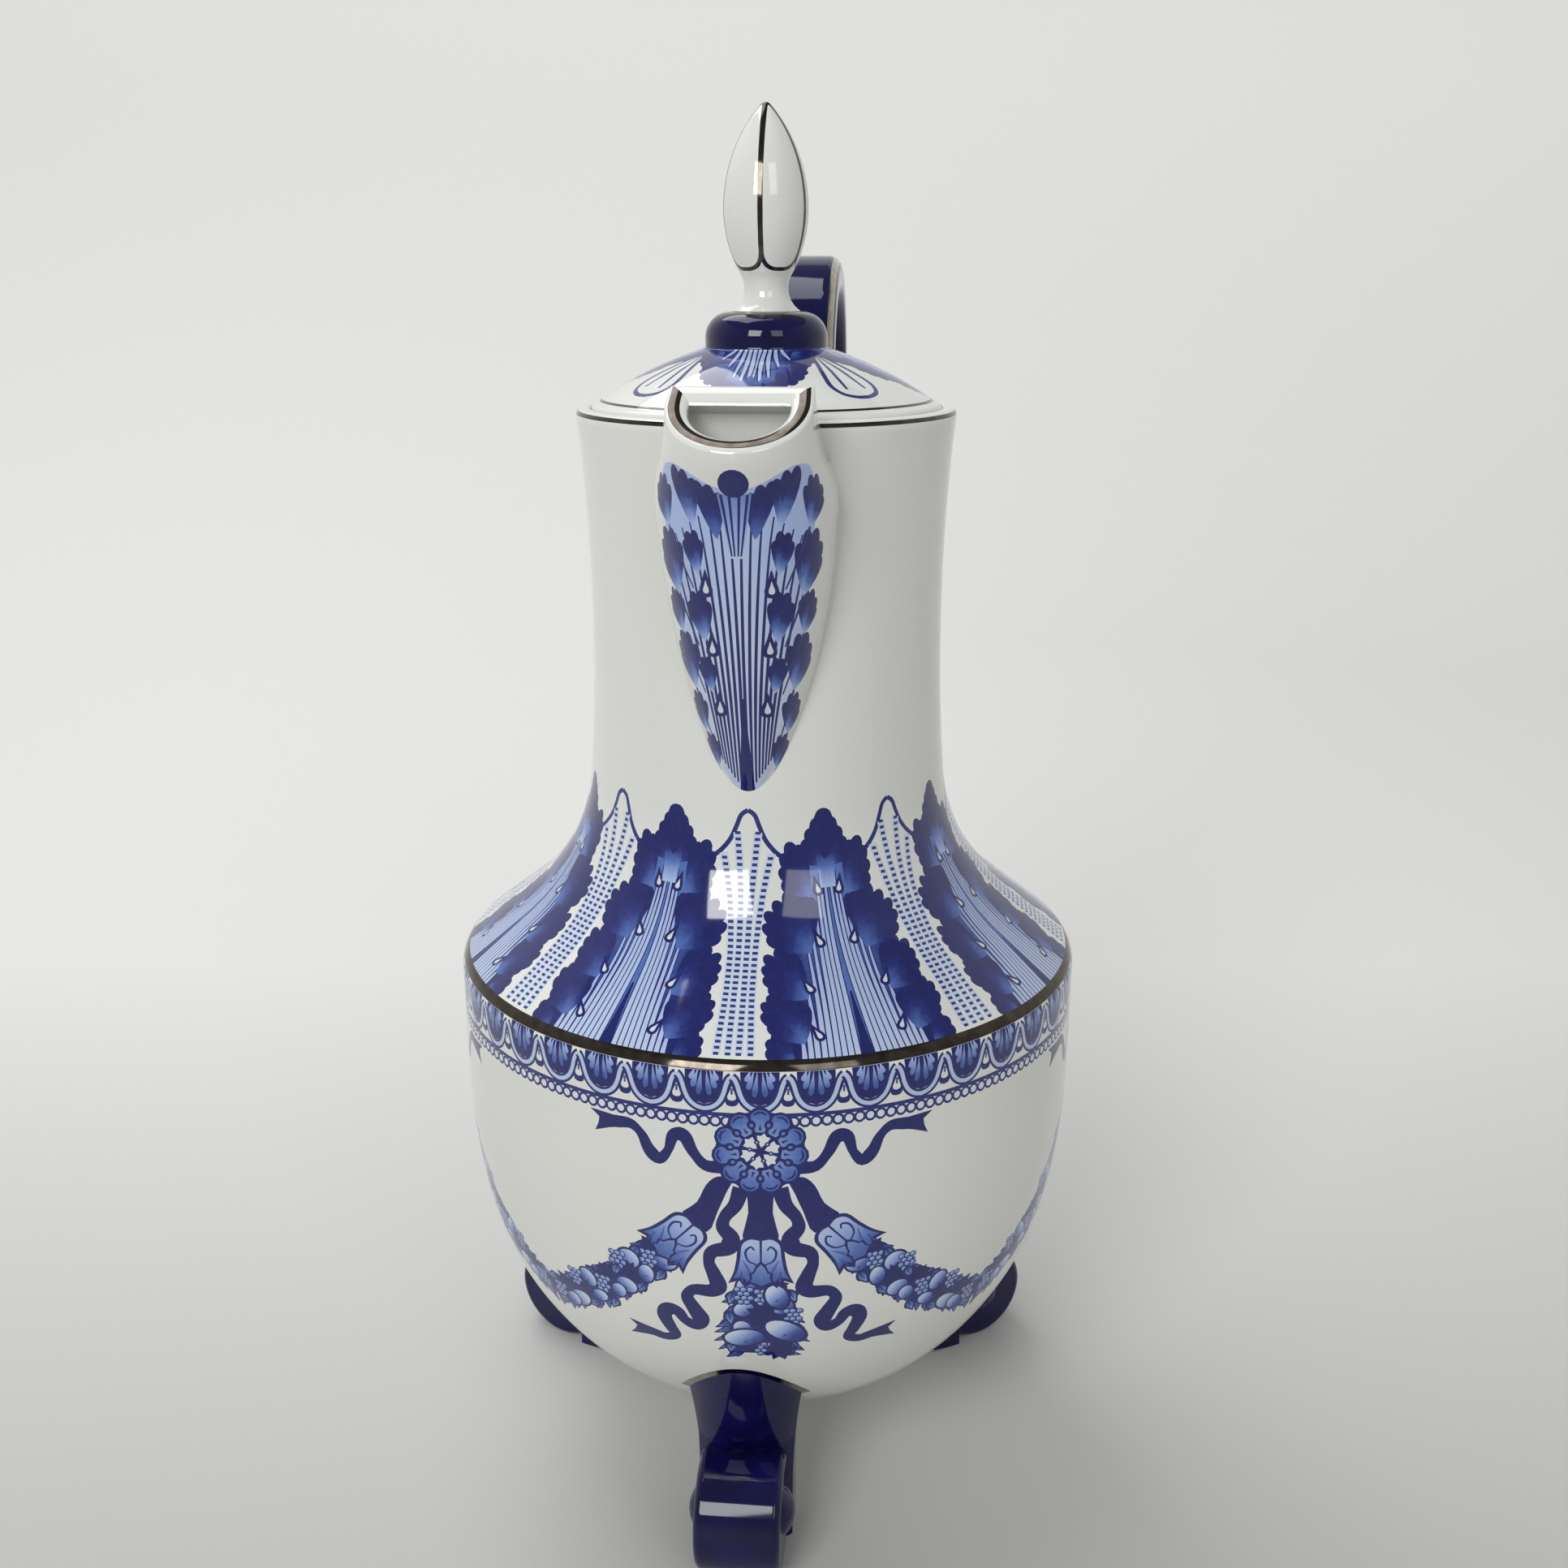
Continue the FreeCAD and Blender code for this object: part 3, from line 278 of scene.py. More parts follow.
# Half of a shoulder leaf: each tuft's root and its finger tips, from the top tuft down.
LEAF_TUFTS = (
    (0.5 + 38.5j, (1.6 + 47.6j, 3.0 + 45.6j, 4.2 + 43.4j, 4.6 + 41.0j)),
    (4.3 + 33.0j, (5.2 + 42.6j, 7.1 + 43.2j, 8.4 + 41.0j, 9.0 + 38.2j, 9.0 + 35.4j)),
    (5.9 + 22.0j, (3.6 + 32.4j, 5.7 + 34.4j, 8.4 + 33.8j, 10.9 + 32.0j,
                   13.0 + 29.8j, 13.9 + 27.2j, 13.6 + 24.6j)),
    (8.6 + 12.5j, (9.4 + 21.6j, 12.0 + 22.8j, 14.5 + 21.4j, 15.5 + 19.0j, 15.9 + 16.6j, 15.5 + 14.2j)),
    (11.4 + 3.4j, (9.4 + 11.2j, 11.0 + 13.0j, 13.3 + 13.6j, 15.6 + 13.2j,
                   17.2 + 11.6j, 17.9 + 9.2j, 17.3 + 6.8j)),
    (14.4 - 1.4j, (16.2 + 5.4j, 17.9 + 4.0j, 18.7 + 1.8j, 18.6 - 0.6j)),
)
# Where the light stripes of half a leaf end, from its middle outwards.
STRIPE_ENDS = (
    0.55 + 38j, 1.4 + 37j, 2.2 + 35j, 3.2 + 31j, 4.6 + 27j, 6.0 + 23j, 8.0 + 16j, 9.6 + 11j, 11.4 + 5j)
STRIPE_PITCH = 1.28
# The pale drops of half a leaf: each one's root and its way.
LEAF_DROPS = (
    (2.7 + 36.6j, -0.6 - 3j), (4.4 + 26.4j, -1.0 - 3j), (8.8 + 16.9j, -1.4 - 3j), (9.4 + 7.2j, -1.4 - 3j))


def leaf():
    """An acanthus leaf that stands on the shoulder's edge."""
    base = -1.6
    ground = curve([17 + 1j * base, 15.4 + 8j, 13 + 17j, 11 + 27j, 7 + 36j, 2.5 + 44j, 44.5j], 3)
    half = [(np.concatenate([ground, [1j * base]]), (4 + 0j, MID, 11 + 0j, DEEP))]
    share = np.linspace(0, 1, 12)
    for index, end in enumerate(STRIPE_ENDS):
        across = end.real + (2.0 + STRIPE_PITCH * index - end.real) * (1 - share) ** 1.6
        path = across + 1j * (base + (end.imag - base) * share)
        half += stroke(path, (1.5, 1.35, 1.1, 0.8), DEEP)
        half += stroke(path, (1.0, 0.9, 0.66, 0.34), (path[0], 0.22, end, 0.34))
    for root, tips in reversed(LEAF_TUFTS):
        half += cluster(root, tips, 3.2)
    for at, way in LEAF_DROPS:
        half += bead_drop(at, way / abs(way))
    top = [(np.array([-1.5 + 34j, 1.5 + 34j, 1.9 + 42j, -1.9 + 42j]), (35j, 0.3, 41.5j, DEEP))]
    top += cluster(40j, (49.4j,), 4.0, DEEP)
    wedge = [-1.4 + 1j * base, 1.4 + 1j * base, 0.75 + 5j, 0.2 + 13j, -0.2 + 13j, -0.75 + 5j]
    return half + mirror(half) + top + [(np.array(wedge), DEEP)]


# Half of a lancet's outline, and how far its two ladder columns stand from its middle at each height.
LANCET_EDGE = (7.0 + 40.0j, 5.2 + 41.4j, 3.4 + 43.6j, 2.2 + 46.2j, 1.3 + 48.4j, 49.4j)
LADDERS = (
    (1j + 1.0, 12j + 0.9, 23j + 0.8, 34j + 1.1, 45j + 1.95),
    (1j + 3.2, 12j + 2.5, 23j + 2.4, 33j + 3.2, 41j + 4.6))
RUNG, RUNG_PITCH = np.array([-0.52 - 0.3j, 0.52 - 0.3j, 0.52 + 0.3j, -0.52 + 0.3j]), 1.22


def lancet():
    """A pale pointed field between two leaves, with ladders of short dashes."""
    half = stroke(curve(LANCET_EDGE, 4), (0.9, 0.9), 0.9)
    for ladder in LADDERS:
        line = curve(ladder, 8)
        half += stroke(line, (1.7, 1.5, 1.7), PALE)
        heights = np.arange(line[0].imag, line[-1].imag, RUNG_PITCH)
        for middle in np.interp(heights, line.imag, line.real) + 1j * heights:
            half.append((middle + RUNG, 0.85))
    return half + mirror(half)


# An egg's width on the belly, its turn about the axis, how many lie on each side of a rosette, and the beads
# under each one.
EGG_PITCH, EGG_TURN, EGGS_ASIDE, BEADS = 10.32, 9, 5, 5
# One egg's wave of moulding from its lowest point to the top of the next dart.
EGG_WAVE = (
    108.3j, 1.5 + 108.7j, 2.8 + 109.8j, 3.6 + 111.4j, 4.1 + 113.2j, 4.6 + 114.4j, EGG_PITCH / 2 + 114.9j)


def egg():
    """An egg of the moulding, with half a dart on each side."""
    shapes = []
    bowl = curve([3.6 + 115.9j, 3.5 + 114j, 3.1 + 112j, 2.2 + 110.1j, 109.2j], 3)
    bowl = np.concatenate([bowl, -np.conj(bowl[-2::-1])])
    shapes.append((bowl, DEEP))
    for turn in (-58, -35, -13, 13, 35, 58):
        tip = 115.6j + (5.2 - 0.04 * abs(turn)) * np.exp(1j * math.radians(turn - 90))
        shapes.append((lobe(DROP, 116.2j + 0.03 * turn, tip, 1.25), (115.8j, 0.3, 111.8j, 0.74)))
    shapes += stroke([115.9j, 113.6j, 111.6j], (0.9, 0.7, 0.2), DEEP)
    wave = curve(EGG_WAVE, 3)
    wave = np.concatenate([-np.conj(wave[:0:-1]), wave])
    shapes += ribbon(wave, (1.8, 1.8), 0.95)
    shapes += ribbon(wave, (0.8, 0.8), 0.22)
    dart = EGG_PITCH / 2 + 113.6j
    shapes.append((lobe(DROP, dart, dart - 4.6j, 2.9), 0.95))
    shapes.append((lobe(DROP, dart - 0.5j, dart - 3.4j, 1.9), WHITE))
    shapes += stroke([dart - 0.9j, dart - 2.2j], (0.4, 0.4), 0.8)
    return shapes


def egg_band():
    """The egg row and the bead row over a stretch of the belly, about the meridian at its middle."""
    turns = [EGG_TURN * step for step in range(-EGGS_ASIDE, EGGS_ASIDE + 1)]
    shapes = []
    for turn in turns:
        shapes += on_axis(egg(), turn)
    beads = []
    for step in range(BEADS):
        at = EGG_PITCH / BEADS * (step - BEADS // 2) + 105.9j
        beads.append((oval(at, 1.2, 1.25, count=10), 0.9))
        beads.append((oval(at, 0.72, 0.74, count=9), 0.04))
    rule = stroke([-EGG_PITCH / 2 + 107.3j, EGG_PITCH / 2 + 107.3j], (0.75, 0.75), 0.9)
    for turn in turns:
        shapes += on_axis(rule + beads, turn)
    return shapes


def rosette():
    """A double flower, its petals parted by keyholes."""
    centre, petals, inner_petals = 99.9j, 11, 6
    ways = spokes(petals, 0.5) * -1j
    shapes = [(oval(centre, 7.6, 7.6, count=28), DEEP)]
    for way in ways:
        shapes.append((oval(centre + 6.35 * way, 2.8, 2.55, math.degrees(np.angle(way))), 0.97))
    for way in ways:
        ink = (centre + 8.6 * way, 0.7, centre + 3.6 * way, 0.5)
        shapes.append((oval(centre + 6.2 * way, 2.4, 2.0, math.degrees(np.angle(way))), ink))
        crescent = np.array([7.5 - 1.2j, 8.0 - 0.4j, 8.0 + 0.4j, 7.5 + 1.2j])
        shapes += stroke(centre + way * crescent, (0.25, 0.6, 0.25), 0.95)
        shapes += stroke(centre + way * np.array([4.4, 5.6]), (0.6, 0.1), 0.9)
    for way in ways * np.exp(1j * math.pi / petals):
        turn = math.degrees(np.angle(way))
        shapes += stroke(centre + way * np.array([8.3, 6.4, 3.6]), (0.9, 0.5, 0.7), 0.97)
        shapes.append((oval(centre + 5.7 * way, 1.0, 0.85, turn, 10), 0.97))
        shapes.append((oval(centre + 5.6 * way, 0.42, 0.34, turn, 8), 0.6))
    shapes.append((oval(centre, 4.0, 4.0, count=20), DEEP))
    for way in spokes(inner_petals, 0.3):
        shapes.append((centre + 2.35 * way + way * star(12, 1.0, 1.5), 0.04))
    for way in spokes(inner_petals, 0.8):
        shapes += stroke(centre + way * np.array([0.8, 3.6]), (0.4, 0.7), 0.97)
        shapes.append((oval(centre + 2.0 * way, 0.55, 0.5, count=8), 0.9))
        shapes.append((oval(centre + 2.0 * way, 0.22, 0.2, count=6), 0.3))
    shapes.append((centre + star(12, 0.5, 1.25), DEEP))
    return shapes


# Middle lines of the ribbons to the right of a rosette, of the drop and of the festoon that hang from it,
# and the ribbons' widths along them.
UPPER_RIBBON = (
    7.0 + 96.4j, 10.3 + 96.6j, 12.6 + 99.2j, 14.2 + 102.2j, 16.3 + 102.0j, 17.4 + 98.8j, 19.2 + 96.8j,
    21.2 + 98.4j, 22.6 + 101.2j, 24.8 + 103.0j, 28.0 + 102.8j)
LOWER_RIBBON = (
    3.6 + 92.2j, 4.7 + 88.6j, 6.6 + 86.0j, 7.1 + 83.6j, 5.6 + 81.3j, 6.2 + 79.0j, 9.2 + 77.8j, 9.9 + 75.4j,
    9.0 + 72.6j, 8.2 + 69.8j, 9.6 + 68.4j, 13.0 + 68.2j, 14.4 + 66.2j, 13.0 + 63.2j, 11.8 + 60.6j,
    12.8 + 58.8j, 15.0 + 59.8j, 16.4 + 61.8j, 18.4 + 62.2j, 19.3 + 60.2j, 18.2 + 57.2j, 17.2 + 54.8j,
    19.4 + 53.6j, 22.6 + 54.2j)
DROP_LINE = (71.5j, 66j, 60j, 55j, 51.4j)
FESTOON = (19.5 + 76.3j, 24.5 + 71.2j, 31.4 + 65.0j, 38.8 + 59.6j, 47.8 + 54.6j)
UPPER_WIDTHS = (2.8, 2.0, 3.0, 1.7, 2.8, 1.8, 2.6)
LOWER_WIDTHS = (3.2, 2.3, 3.7, 2.2, 3.6, 2.3, 3.6, 2.3, 3.4, 2.4, 2.2)


def swallowtail(at, way):
    """The forked end of a ribbon."""
    outline = np.array([-0.6 - 0.9j, 3.0 - 1.4j, 6.4 - 2.3j, 5.4 - 0.7j,
                        5.0 + 0.6j, 6.8 + 2.2j, 3.0 + 1.6j, -0.6 + 0.9j])
    return [(at + way * outline, DEEP)]


def calyx():
    """The cup of leaves that a festoon or a drop hangs in, open downwards from its own origin."""
    half = curve([0.2 + 0.6j, 2.4 + 0.9j, 4.2 - 0.6j, 4.6 - 4j, 5.2 - 7.4j, 6.3 - 10.2j], 3)
    foot = np.array([4.2 - 9.4j, 3.0 - 11.2j, 1.6 - 9.8j, -11.6j])
    edge = np.concatenate([half, foot])
    whole = np.concatenate([edge[::-1], -np.conj(edge[:-1])])
    inner = 0.84 * edge - 0.5j
    inner = np.concatenate([inner[::-1], -np.conj(inner[:-1])])
    shapes = [(whole, 0.97), (inner, (-1j, 0.26, -9.5j, 0.74))]
    for side in (1, -1):
        curl = [side * 0.7 - 5.6j, side * 2.4 - 4.6j, side * 2.9 - 2.6j, side * 1.9 - 1.4j, side * 1.2 - 2.2j]
        vein = [side * 1.4 - 9.8j, side * 2.4 - 6.6j, side * 3.4 - 4.6j]
        shapes += stroke(curve(curl, 4), (0.3, 0.5, 0.35), 0.9)
        shapes += stroke(np.array(vein), (0.9, 0.6, 0.15), 0.7)
        shapes += stroke([side * 3.6 - 9.6j, side * 3.7 - 7.2j], (0.5, 0.2), 0.8)
    shapes += stroke([0.4j, -3.2j, -5.6j], (0.5, 0.4, 0.4), 0.95)
    jagged = [-4.6j, 1.0 - 5.8j, 1.5 - 7.2j, 2.3 - 7.6j, 2.1 - 9.0j, 2.7 - 9.9j, 1.5 - 10.4j, -11.2j]
    jagged = np.concatenate([jagged, -np.conj(jagged[-2:0:-1])])
    shapes.append((jagged, 0.97))
    shapes.append((0.78 * (jagged + 8j) - 8.1j, (-5j, 0.5, -11j, 0.74)))
    return shapes


def fruit(at, size, turn, long):
    """A round fruit, light on its upper left, with a small dark mark."""
    way = np.exp(1j * math.radians(turn))
    shade = (at + (0.6j - 0.6) * size, 0.12, at + (0.6 - 0.6j) * size, 0.84)
    mark = at - 0.45j * size
    shapes = [
        (oval(at, (long + 0.1) * size, 1.06 * size, turn, 18), 0.97),
        (oval(at, (long - 0.12) * size, 0.84 * size, turn, 18), shade),
    ]
    for lean in (-0.9, 0, 0.9):
        tip = mark + 0.26 * size * way * np.exp(1j * lean)
        shapes += stroke([mark, tip], (0.1 * size, 0.04), 0.85)
    return shapes


def grapes(at, chance):
    """A bunch of small berries."""
    shapes = []
    for row, count in enumerate((3, 2, 3, 2)):
        for step in range(count):
            berry = at + 1.25 * (step - (count - 1) / 2) + 1.05j * (1.5 - row) + 0.15 * chance.random()
            shapes.append((oval(berry, 0.78, 0.74, count=9), 0.97))
            shade = (berry + 0.4j - 0.3, 0.25, berry - 0.5j + 0.3, 0.7)
            shapes.append((oval(berry, 0.55, 0.52, count=8), shade))
    return shapes


def burst(at, size, chance):
    """A dark tuft of leaves."""
    return [(at + star(18, 0.72 * size, 1.08 * size, chance.random()), DEEP)]


def leaflet(root, tip, width, ink=0.5):
    """A jagged leaf with a dark edge and a vein."""
    middle = root + 0.12 * (tip - root)
    return [
        (lobe(LEAFLET, root, tip, width), 0.97),
        (lobe(LEAFLET, middle, root + 0.84 * (tip - root), 0.62 * width), (middle, 0.85, tip, ink)),
    ] + stroke([root, root + 0.7 * (tip - root)], (0.35, 0.15), 0.97)


# What lies across a heap, row after row: each thing's place from side to side, and its kind.
HEAP_ROWS = (
    ((-0.5, "fruit"), (0.5, "burst")),
    ((0.05, "grapes"), (0.8, "leaf"), (-0.8, "leaf")),
    ((0.55, "fruit"), (-0.45, "fruit")),
    ((0.1, "burst"), (-0.8, "leaf"), (0.75, "grapes")),
    ((-0.45, "fruit"), (0.6, "leaf")),
)


def heap(path, half_widths, seed):
    """Fruit, berries and leaves heaped along a line."""
    chance = random.Random(seed)
    path = np.array(path)
    lengths = lengths_along(path)
    way = np.gradient(path)
    way = way / np.abs(way)
    shapes = []

    def spot(along, aside):
        """A place in the heap, the way along it there and half its width."""
        wide = spread(half_widths, along / lengths[-1])
        at, heading = np.interp(along, lengths, path), np.interp(along, lengths, way)
        return at + 1j * heading * aside * wide, heading, wide

    for along in np.arange(0.4, lengths[-1], 1.9):
        for side in (1, -1):
            root, heading, wide = spot(along, 0.5 * side)
            lean = np.exp(1j * side * math.radians(chance.uniform(30, 70)))
            shapes += leaflet(root, root + heading * lean * (0.6 * wide + chance.uniform(0.4, 1.4)), 2.4)
    shapes += stroke(path, [1.5 * width for width in half_widths], 0.97)
    for row, along in enumerate(np.arange(1.2, lengths[-1] - 0.4, 2.9)):
        for aside, kind in HEAP_ROWS[row % len(HEAP_ROWS)]:
            at, heading, _ = spot(along + chance.uniform(-0.6, 0.6), aside)
            if kind == "fruit":
                size, turn = chance.uniform(1.7, 2.5), chance.uniform(0, 180)
                shapes += fruit(at, size, turn, chance.uniform(1.0, 1.4))
            elif kind == "grapes":
                shapes += grapes(at, chance)
            elif kind == "burst":
                shapes += burst(at, 2.4, chance)
            else:
                tip = at + 2.6 * heading * np.exp(1j * chance.uniform(-1, 1))
                shapes += leaflet(at - 1.6 * heading, tip, 3.0, 0.3)
    return shapes


def hangings():
    """Straps, ribbons, festoons and the drop that hang from a rosette."""
    half = ribbon(curve(UPPER_RIBBON, 5), UPPER_WIDTHS, DEEP)
    half += swallowtail(26.6 + 102.9j, np.exp(-0.12j))
    half += ribbon(curve(LOWER_RIBBON, 5), LOWER_WIDTHS, DEEP)
    half += swallowtail(20.6 + 54.0j, np.exp(0.06j))
    half += heap(curve(FESTOON, 3), (4.4, 4.6, 4.8, 4.6, 4.4), 7)
    strap = (5.2 + 94j, 8 + 94.4j, 10.2 + 92.4j, 12 + 88.6j, 15.2 + 85.2j, 10.2 + 82.2j, 8 + 87j, 6.4 + 91j)
    half.append((curve(strap, 3, True), DEEP))
    half += place(calyx(), 12.9 + 83.4j, 42)
    drop = heap(DROP_LINE, (5.4, 6.8, 8.2, 8.4, 6.4), 3)
    drop += fruit(3.0 + 67.4j, 2.5, 110, 1.3) + grapes(-3.4 + 67.6j, random.Random(4))
    drop += burst(0.2 + 63.0j, 3.2, random.Random(5)) + burst(3.6 + 52.4j, 3.4, random.Random(6))
    drop += fruit(-3.4 + 56.2j, 2.8, 8, 1.5) + fruit(4.6 + 58.2j, 2.9, 148, 1.6)
    strap = (-2.2 + 92j, 2.2 + 92j, 2.3 + 87j, 3.2 + 80.2j, -3.2 + 80.2j, -2.3 + 87j)
    drop.append((curve(strap, 3, True), DEEP))
    return half + mirror(half) + drop + place(calyx(), 80.8j)


class Turned:
    """Part of a turned surface laid flat: its angle across and its length up, from a named height."""

    def __init__(self, rail, start, end, sweep=360.0, turn=0.0, level=0.0):
        self.rail, self.start, self.end, self.level = rail, start, end, level
        self.half = math.radians(sweep) / 2
        self.turn = math.radians(turn)

    def corners(self):
        """Two opposite corners of the plane."""
        return -self.half * PLANE + 1j * self.start, self.half * PLANE + 1j * self.end

    def flat(self, outline, axis):
        """Artwork in true millimetres, laid on the plane."""
        along = outline.imag - self.level + self.start
        return (axis + outline.real / self.rail.at(along).real) * PLANE + 1j * along

    def local(self, points, axis):
        """Plane points back in the artwork's own millimetres."""
        across = (points.real / PLANE - axis) * self.rail.at(points.imag).real
        return across + 1j * (points.imag + self.level - self.start)

    def chart(self, points):
        """Plane points' places up a texture chart."""
        return self.rail.chart(points.imag)

    def solid(self, points):
        """Plane points on the turned surface, and the way that it faces there."""
        angle = points.real / PLANE + self.turn
        spot = self.rail.at(points.imag)
        face = self.rail.facing(points.imag)
        sine, cosine = np.sin(angle), -np.cos(angle)
        places = np.stack([spot.real * sine, spot.real * cosine, spot.imag], 1)
        normals = np.stack([face.real * sine, face.real * cosine, face.imag], 1)
        return places, normals


def within(points, outline):
    """Which points lie inside an outline."""
    hits = np.zeros(len(points), bool)
    for first, last in zip(outline, np.roll(outline, -1)):
        passed = np.nonzero((first.imag > points.imag) != (last.imag > points.imag))[0]
        share = (points.imag[passed] - first.imag) / (last.imag - first.imag)
        hits[passed] ^= points.real[passed] < first.real + share * (last.real - first.real)
    return hits


def triangulate(outlines, low, high, columns, rows):
    """Triangles over a rectangle, cut along every outline, with the number of the topmost outline on each."""
    across = np.linspace(low.real, high.real, columns + 1)
    along = np.linspace(low.imag, high.imag, rows + 1)
    grid = across[None, :] + 1j * along[:, None]
    border = np.concatenate([grid[0], grid[1:, -1], grid[-1, -2::-1], grid[-2:0:-1, 0]])
    edges = []
    start = 0
    for chain in [border, *outlines]:
        count = len(chain)
        edges += [(start + step, start + (step + 1) % count) for step in range(count)]
        start += count
    points = np.concatenate([border, *outlines, grid[1:-1, 1:-1].ravel()])
    pairs = [Vector((point.real, point.imag)) for point in points]
    found, _, triangles, _, _, _ = delaunay_2d_cdt(pairs, edges, [], 0, NEAR)
    points = np.array([complex(*point) for point in found])
    corners = np.array(triangles)
    middles = points[corners].mean(1)
    kept = within(middles, np.array([low, complex(high.real, low.imag), high, complex(low.real, high.imag)]))
    corners, middles = corners[kept], middles[kept]
    tops = np.full(len(corners), -1)
    for index, outline in enumerate(outlines):
        near = (middles.real > outline.real.min()) & (middles.real < outline.real.max())
        near = np.nonzero(near & (middles.imag > outline.imag.min()) & (middles.imag < outline.imag.max()))[0]
        tops[near[within(middles[near], outline)]] = index
    return points, corners, tops


def depth(ink, points):
    """The ink at each point: even, or fading from one place to another."""
    if not isinstance(ink, tuple):
        return np.full(points.shape, ink)
    start, first, end, last = ink
    way = end - start
    share = np.clip(((points - start) * np.conj(way)).real / abs(way) ** 2, 0, 1)
    return first + share * (last - first)


class Shell:
    """A mesh gathered from patches, with ink at its corners and a finish on each triangle."""

    def __init__(self):
        self.patches = []

    def add(self, places, normals, flat, corners, ink, finish=0):
        """Takes in a patch of triangles; ink below nothing marks them as metal."""
        slots = np.where(ink.min(1) < 0, 1, finish)
        self.patches.append((places, normals, flat, corners, np.maximum(ink, 0), slots))

    def lay(self, surface, columns, rows, art=(), copies=1, ink=WHITE, finish=0, holes=()):
        """Covers a surface, cut along the artwork, and repeats it round the axis."""
        low, high = surface.corners()
        outlines = [surface.flat(outline, axis) for outline, _, axis in art] + list(holes)
        points, corners, tops = triangulate(outlines, low, high, columns, rows)
        depths = np.full(corners.shape, float(ink))
        for index, (_, tone, axis) in enumerate(art):
            under = tops == index
            if under.any():
                depths[under] = depth(tone, surface.local(points[corners[under]], axis))
        solid = tops < len(art)
        corners, depths = corners[solid], depths[solid]
        places, normals = surface.solid(points)
        share = (points.real - low.real) / (high.real - low.real)
        for copy in range(copies):
            spin = np.array(Matrix.Rotation(2 * math.pi * copy / copies, 3, "Z"))
            flat = np.stack([(share + copy) / copies, surface.chart(points)], 1)
            self.add(places @ spin.T, normals @ spin.T, flat, corners, depths, finish)

    def build(self, name, materials):
        """One mesh of all the patches, joined where they meet."""
        places, normals, flat, corners, ink, slots = zip(*self.patches)
        starts = np.cumsum([0] + [len(part) for part in places])
        corners = np.concatenate([part + start for part, start in zip(corners, starts)])
        places, normals, flat, ink, slots = map(np.concatenate, (places, normals, flat, ink, slots))
        grains = np.round(places * GRAINS).astype(int)
        _, first, merged = np.unique(grains, axis=0, return_index=True, return_inverse=True)
        joined = merged.reshape(-1)[corners]
        one, two, three = joined.T
        whole = (one != two) & (two != three) & (three != one)
        corners, joined, ink, slots = corners[whole], joined[whole], ink[whole], slots[whole]
        mesh = bpy.data.meshes.new(name)
        mesh.from_pydata((places[first] * MM).tolist(), [], joined.tolist())
        for material in materials:
            mesh.materials.append(material)
        mesh.polygons.foreach_set("material_index", slots.astype(np.int32))
        mesh.polygons.foreach_set("use_smooth", np.ones(len(joined), bool))
        depths = mesh.attributes.new("ink", "FLOAT", "CORNER").data
        depths.foreach_set("value", ink.ravel().astype(np.float32))
        chart = flat[corners.ravel()]
        chart = (chart - chart.min(0)) / np.ptp(chart, axis=0)
        mesh.uv_layers.new(name="OFBake").uv.foreach_set("vector", chart.ravel().astype(np.float32))
        mesh.normals_split_custom_set(normals[corners.ravel()].tolist())
        return add_object(name, mesh)


def add_object(name, mesh):
    """A new object about the pot's axis."""
    item = bpy.data.objects.new(name, mesh)
    item.location = AXIS_PLACE * MM
    bpy.context.scene.collection.objects.link(item)
    return item


def band(shell, rail, start, end, rows, ink=WHITE, finish=0, columns=COLUMNS, holes=()):
    """A plain ring of a turned surface."""
    shell.lay(Turned(rail, start, end), columns, rows, ink=ink, finish=finish, holes=holes)


def cells(net):
    """The four corners of every cell in a net of numbered points."""
    return np.stack([net[:-1, :-1], net[:-1, 1:], net[1:, 1:], net[1:, :-1]], -1).reshape(-1, 4)


def grid_patch(shell, places, ink, shelf):
    """A net of points as triangles, with ink by rows of cells and a shelf of its own in the chart."""
    rows, columns = places.shape[:2]
    normals = np.cross(np.gradient(places, axis=1), np.gradient(places, axis=0))
    normals /= np.linalg.norm(normals, axis=2, keepdims=True) + 1e-12
    quads = cells(np.arange(rows * columns).reshape(rows, columns))
    corners = np.concatenate([quads[:, [0, 1, 2]], quads[:, [0, 2, 3]]])
    tones = np.broadcast_to(ink, (rows - 1, columns - 1)).ravel()
    depths = np.repeat(np.concatenate([tones, tones])[:, None], 3, 1).astype(float)
    flat = np.stack(np.meshgrid(np.linspace(0, 1, columns), np.linspace(*shelf, rows)), -1).reshape(-1, 2)
    shell.add(places.reshape(-1, 3), normals.reshape(-1, 3), flat, corners, depths)


# Heights of the body's prints and of the line on its rim.
BELLY_PRINT = (45.0, 115.9)
SHOULDER_PRINT = (117.7, 157.0)
RIM_LINE = (227.85, 228.6)
# The belly's print: how often it comes, its turn, and the height at which its drawings' heights are true.
BELLY_COPIES, BELLY_TURN, BELLY_DATUM = 4, 4.5, 100
LEAVES = 8

# The strainer: holes through the neck behind the spout, one in the middle and a ring of six.
STRAINER_LEVEL, STRAINER_RING, STRAINER_HOLE = 196.013, 8.4, 2.8
STRAINER_ZONE = (182.0, 210.0)


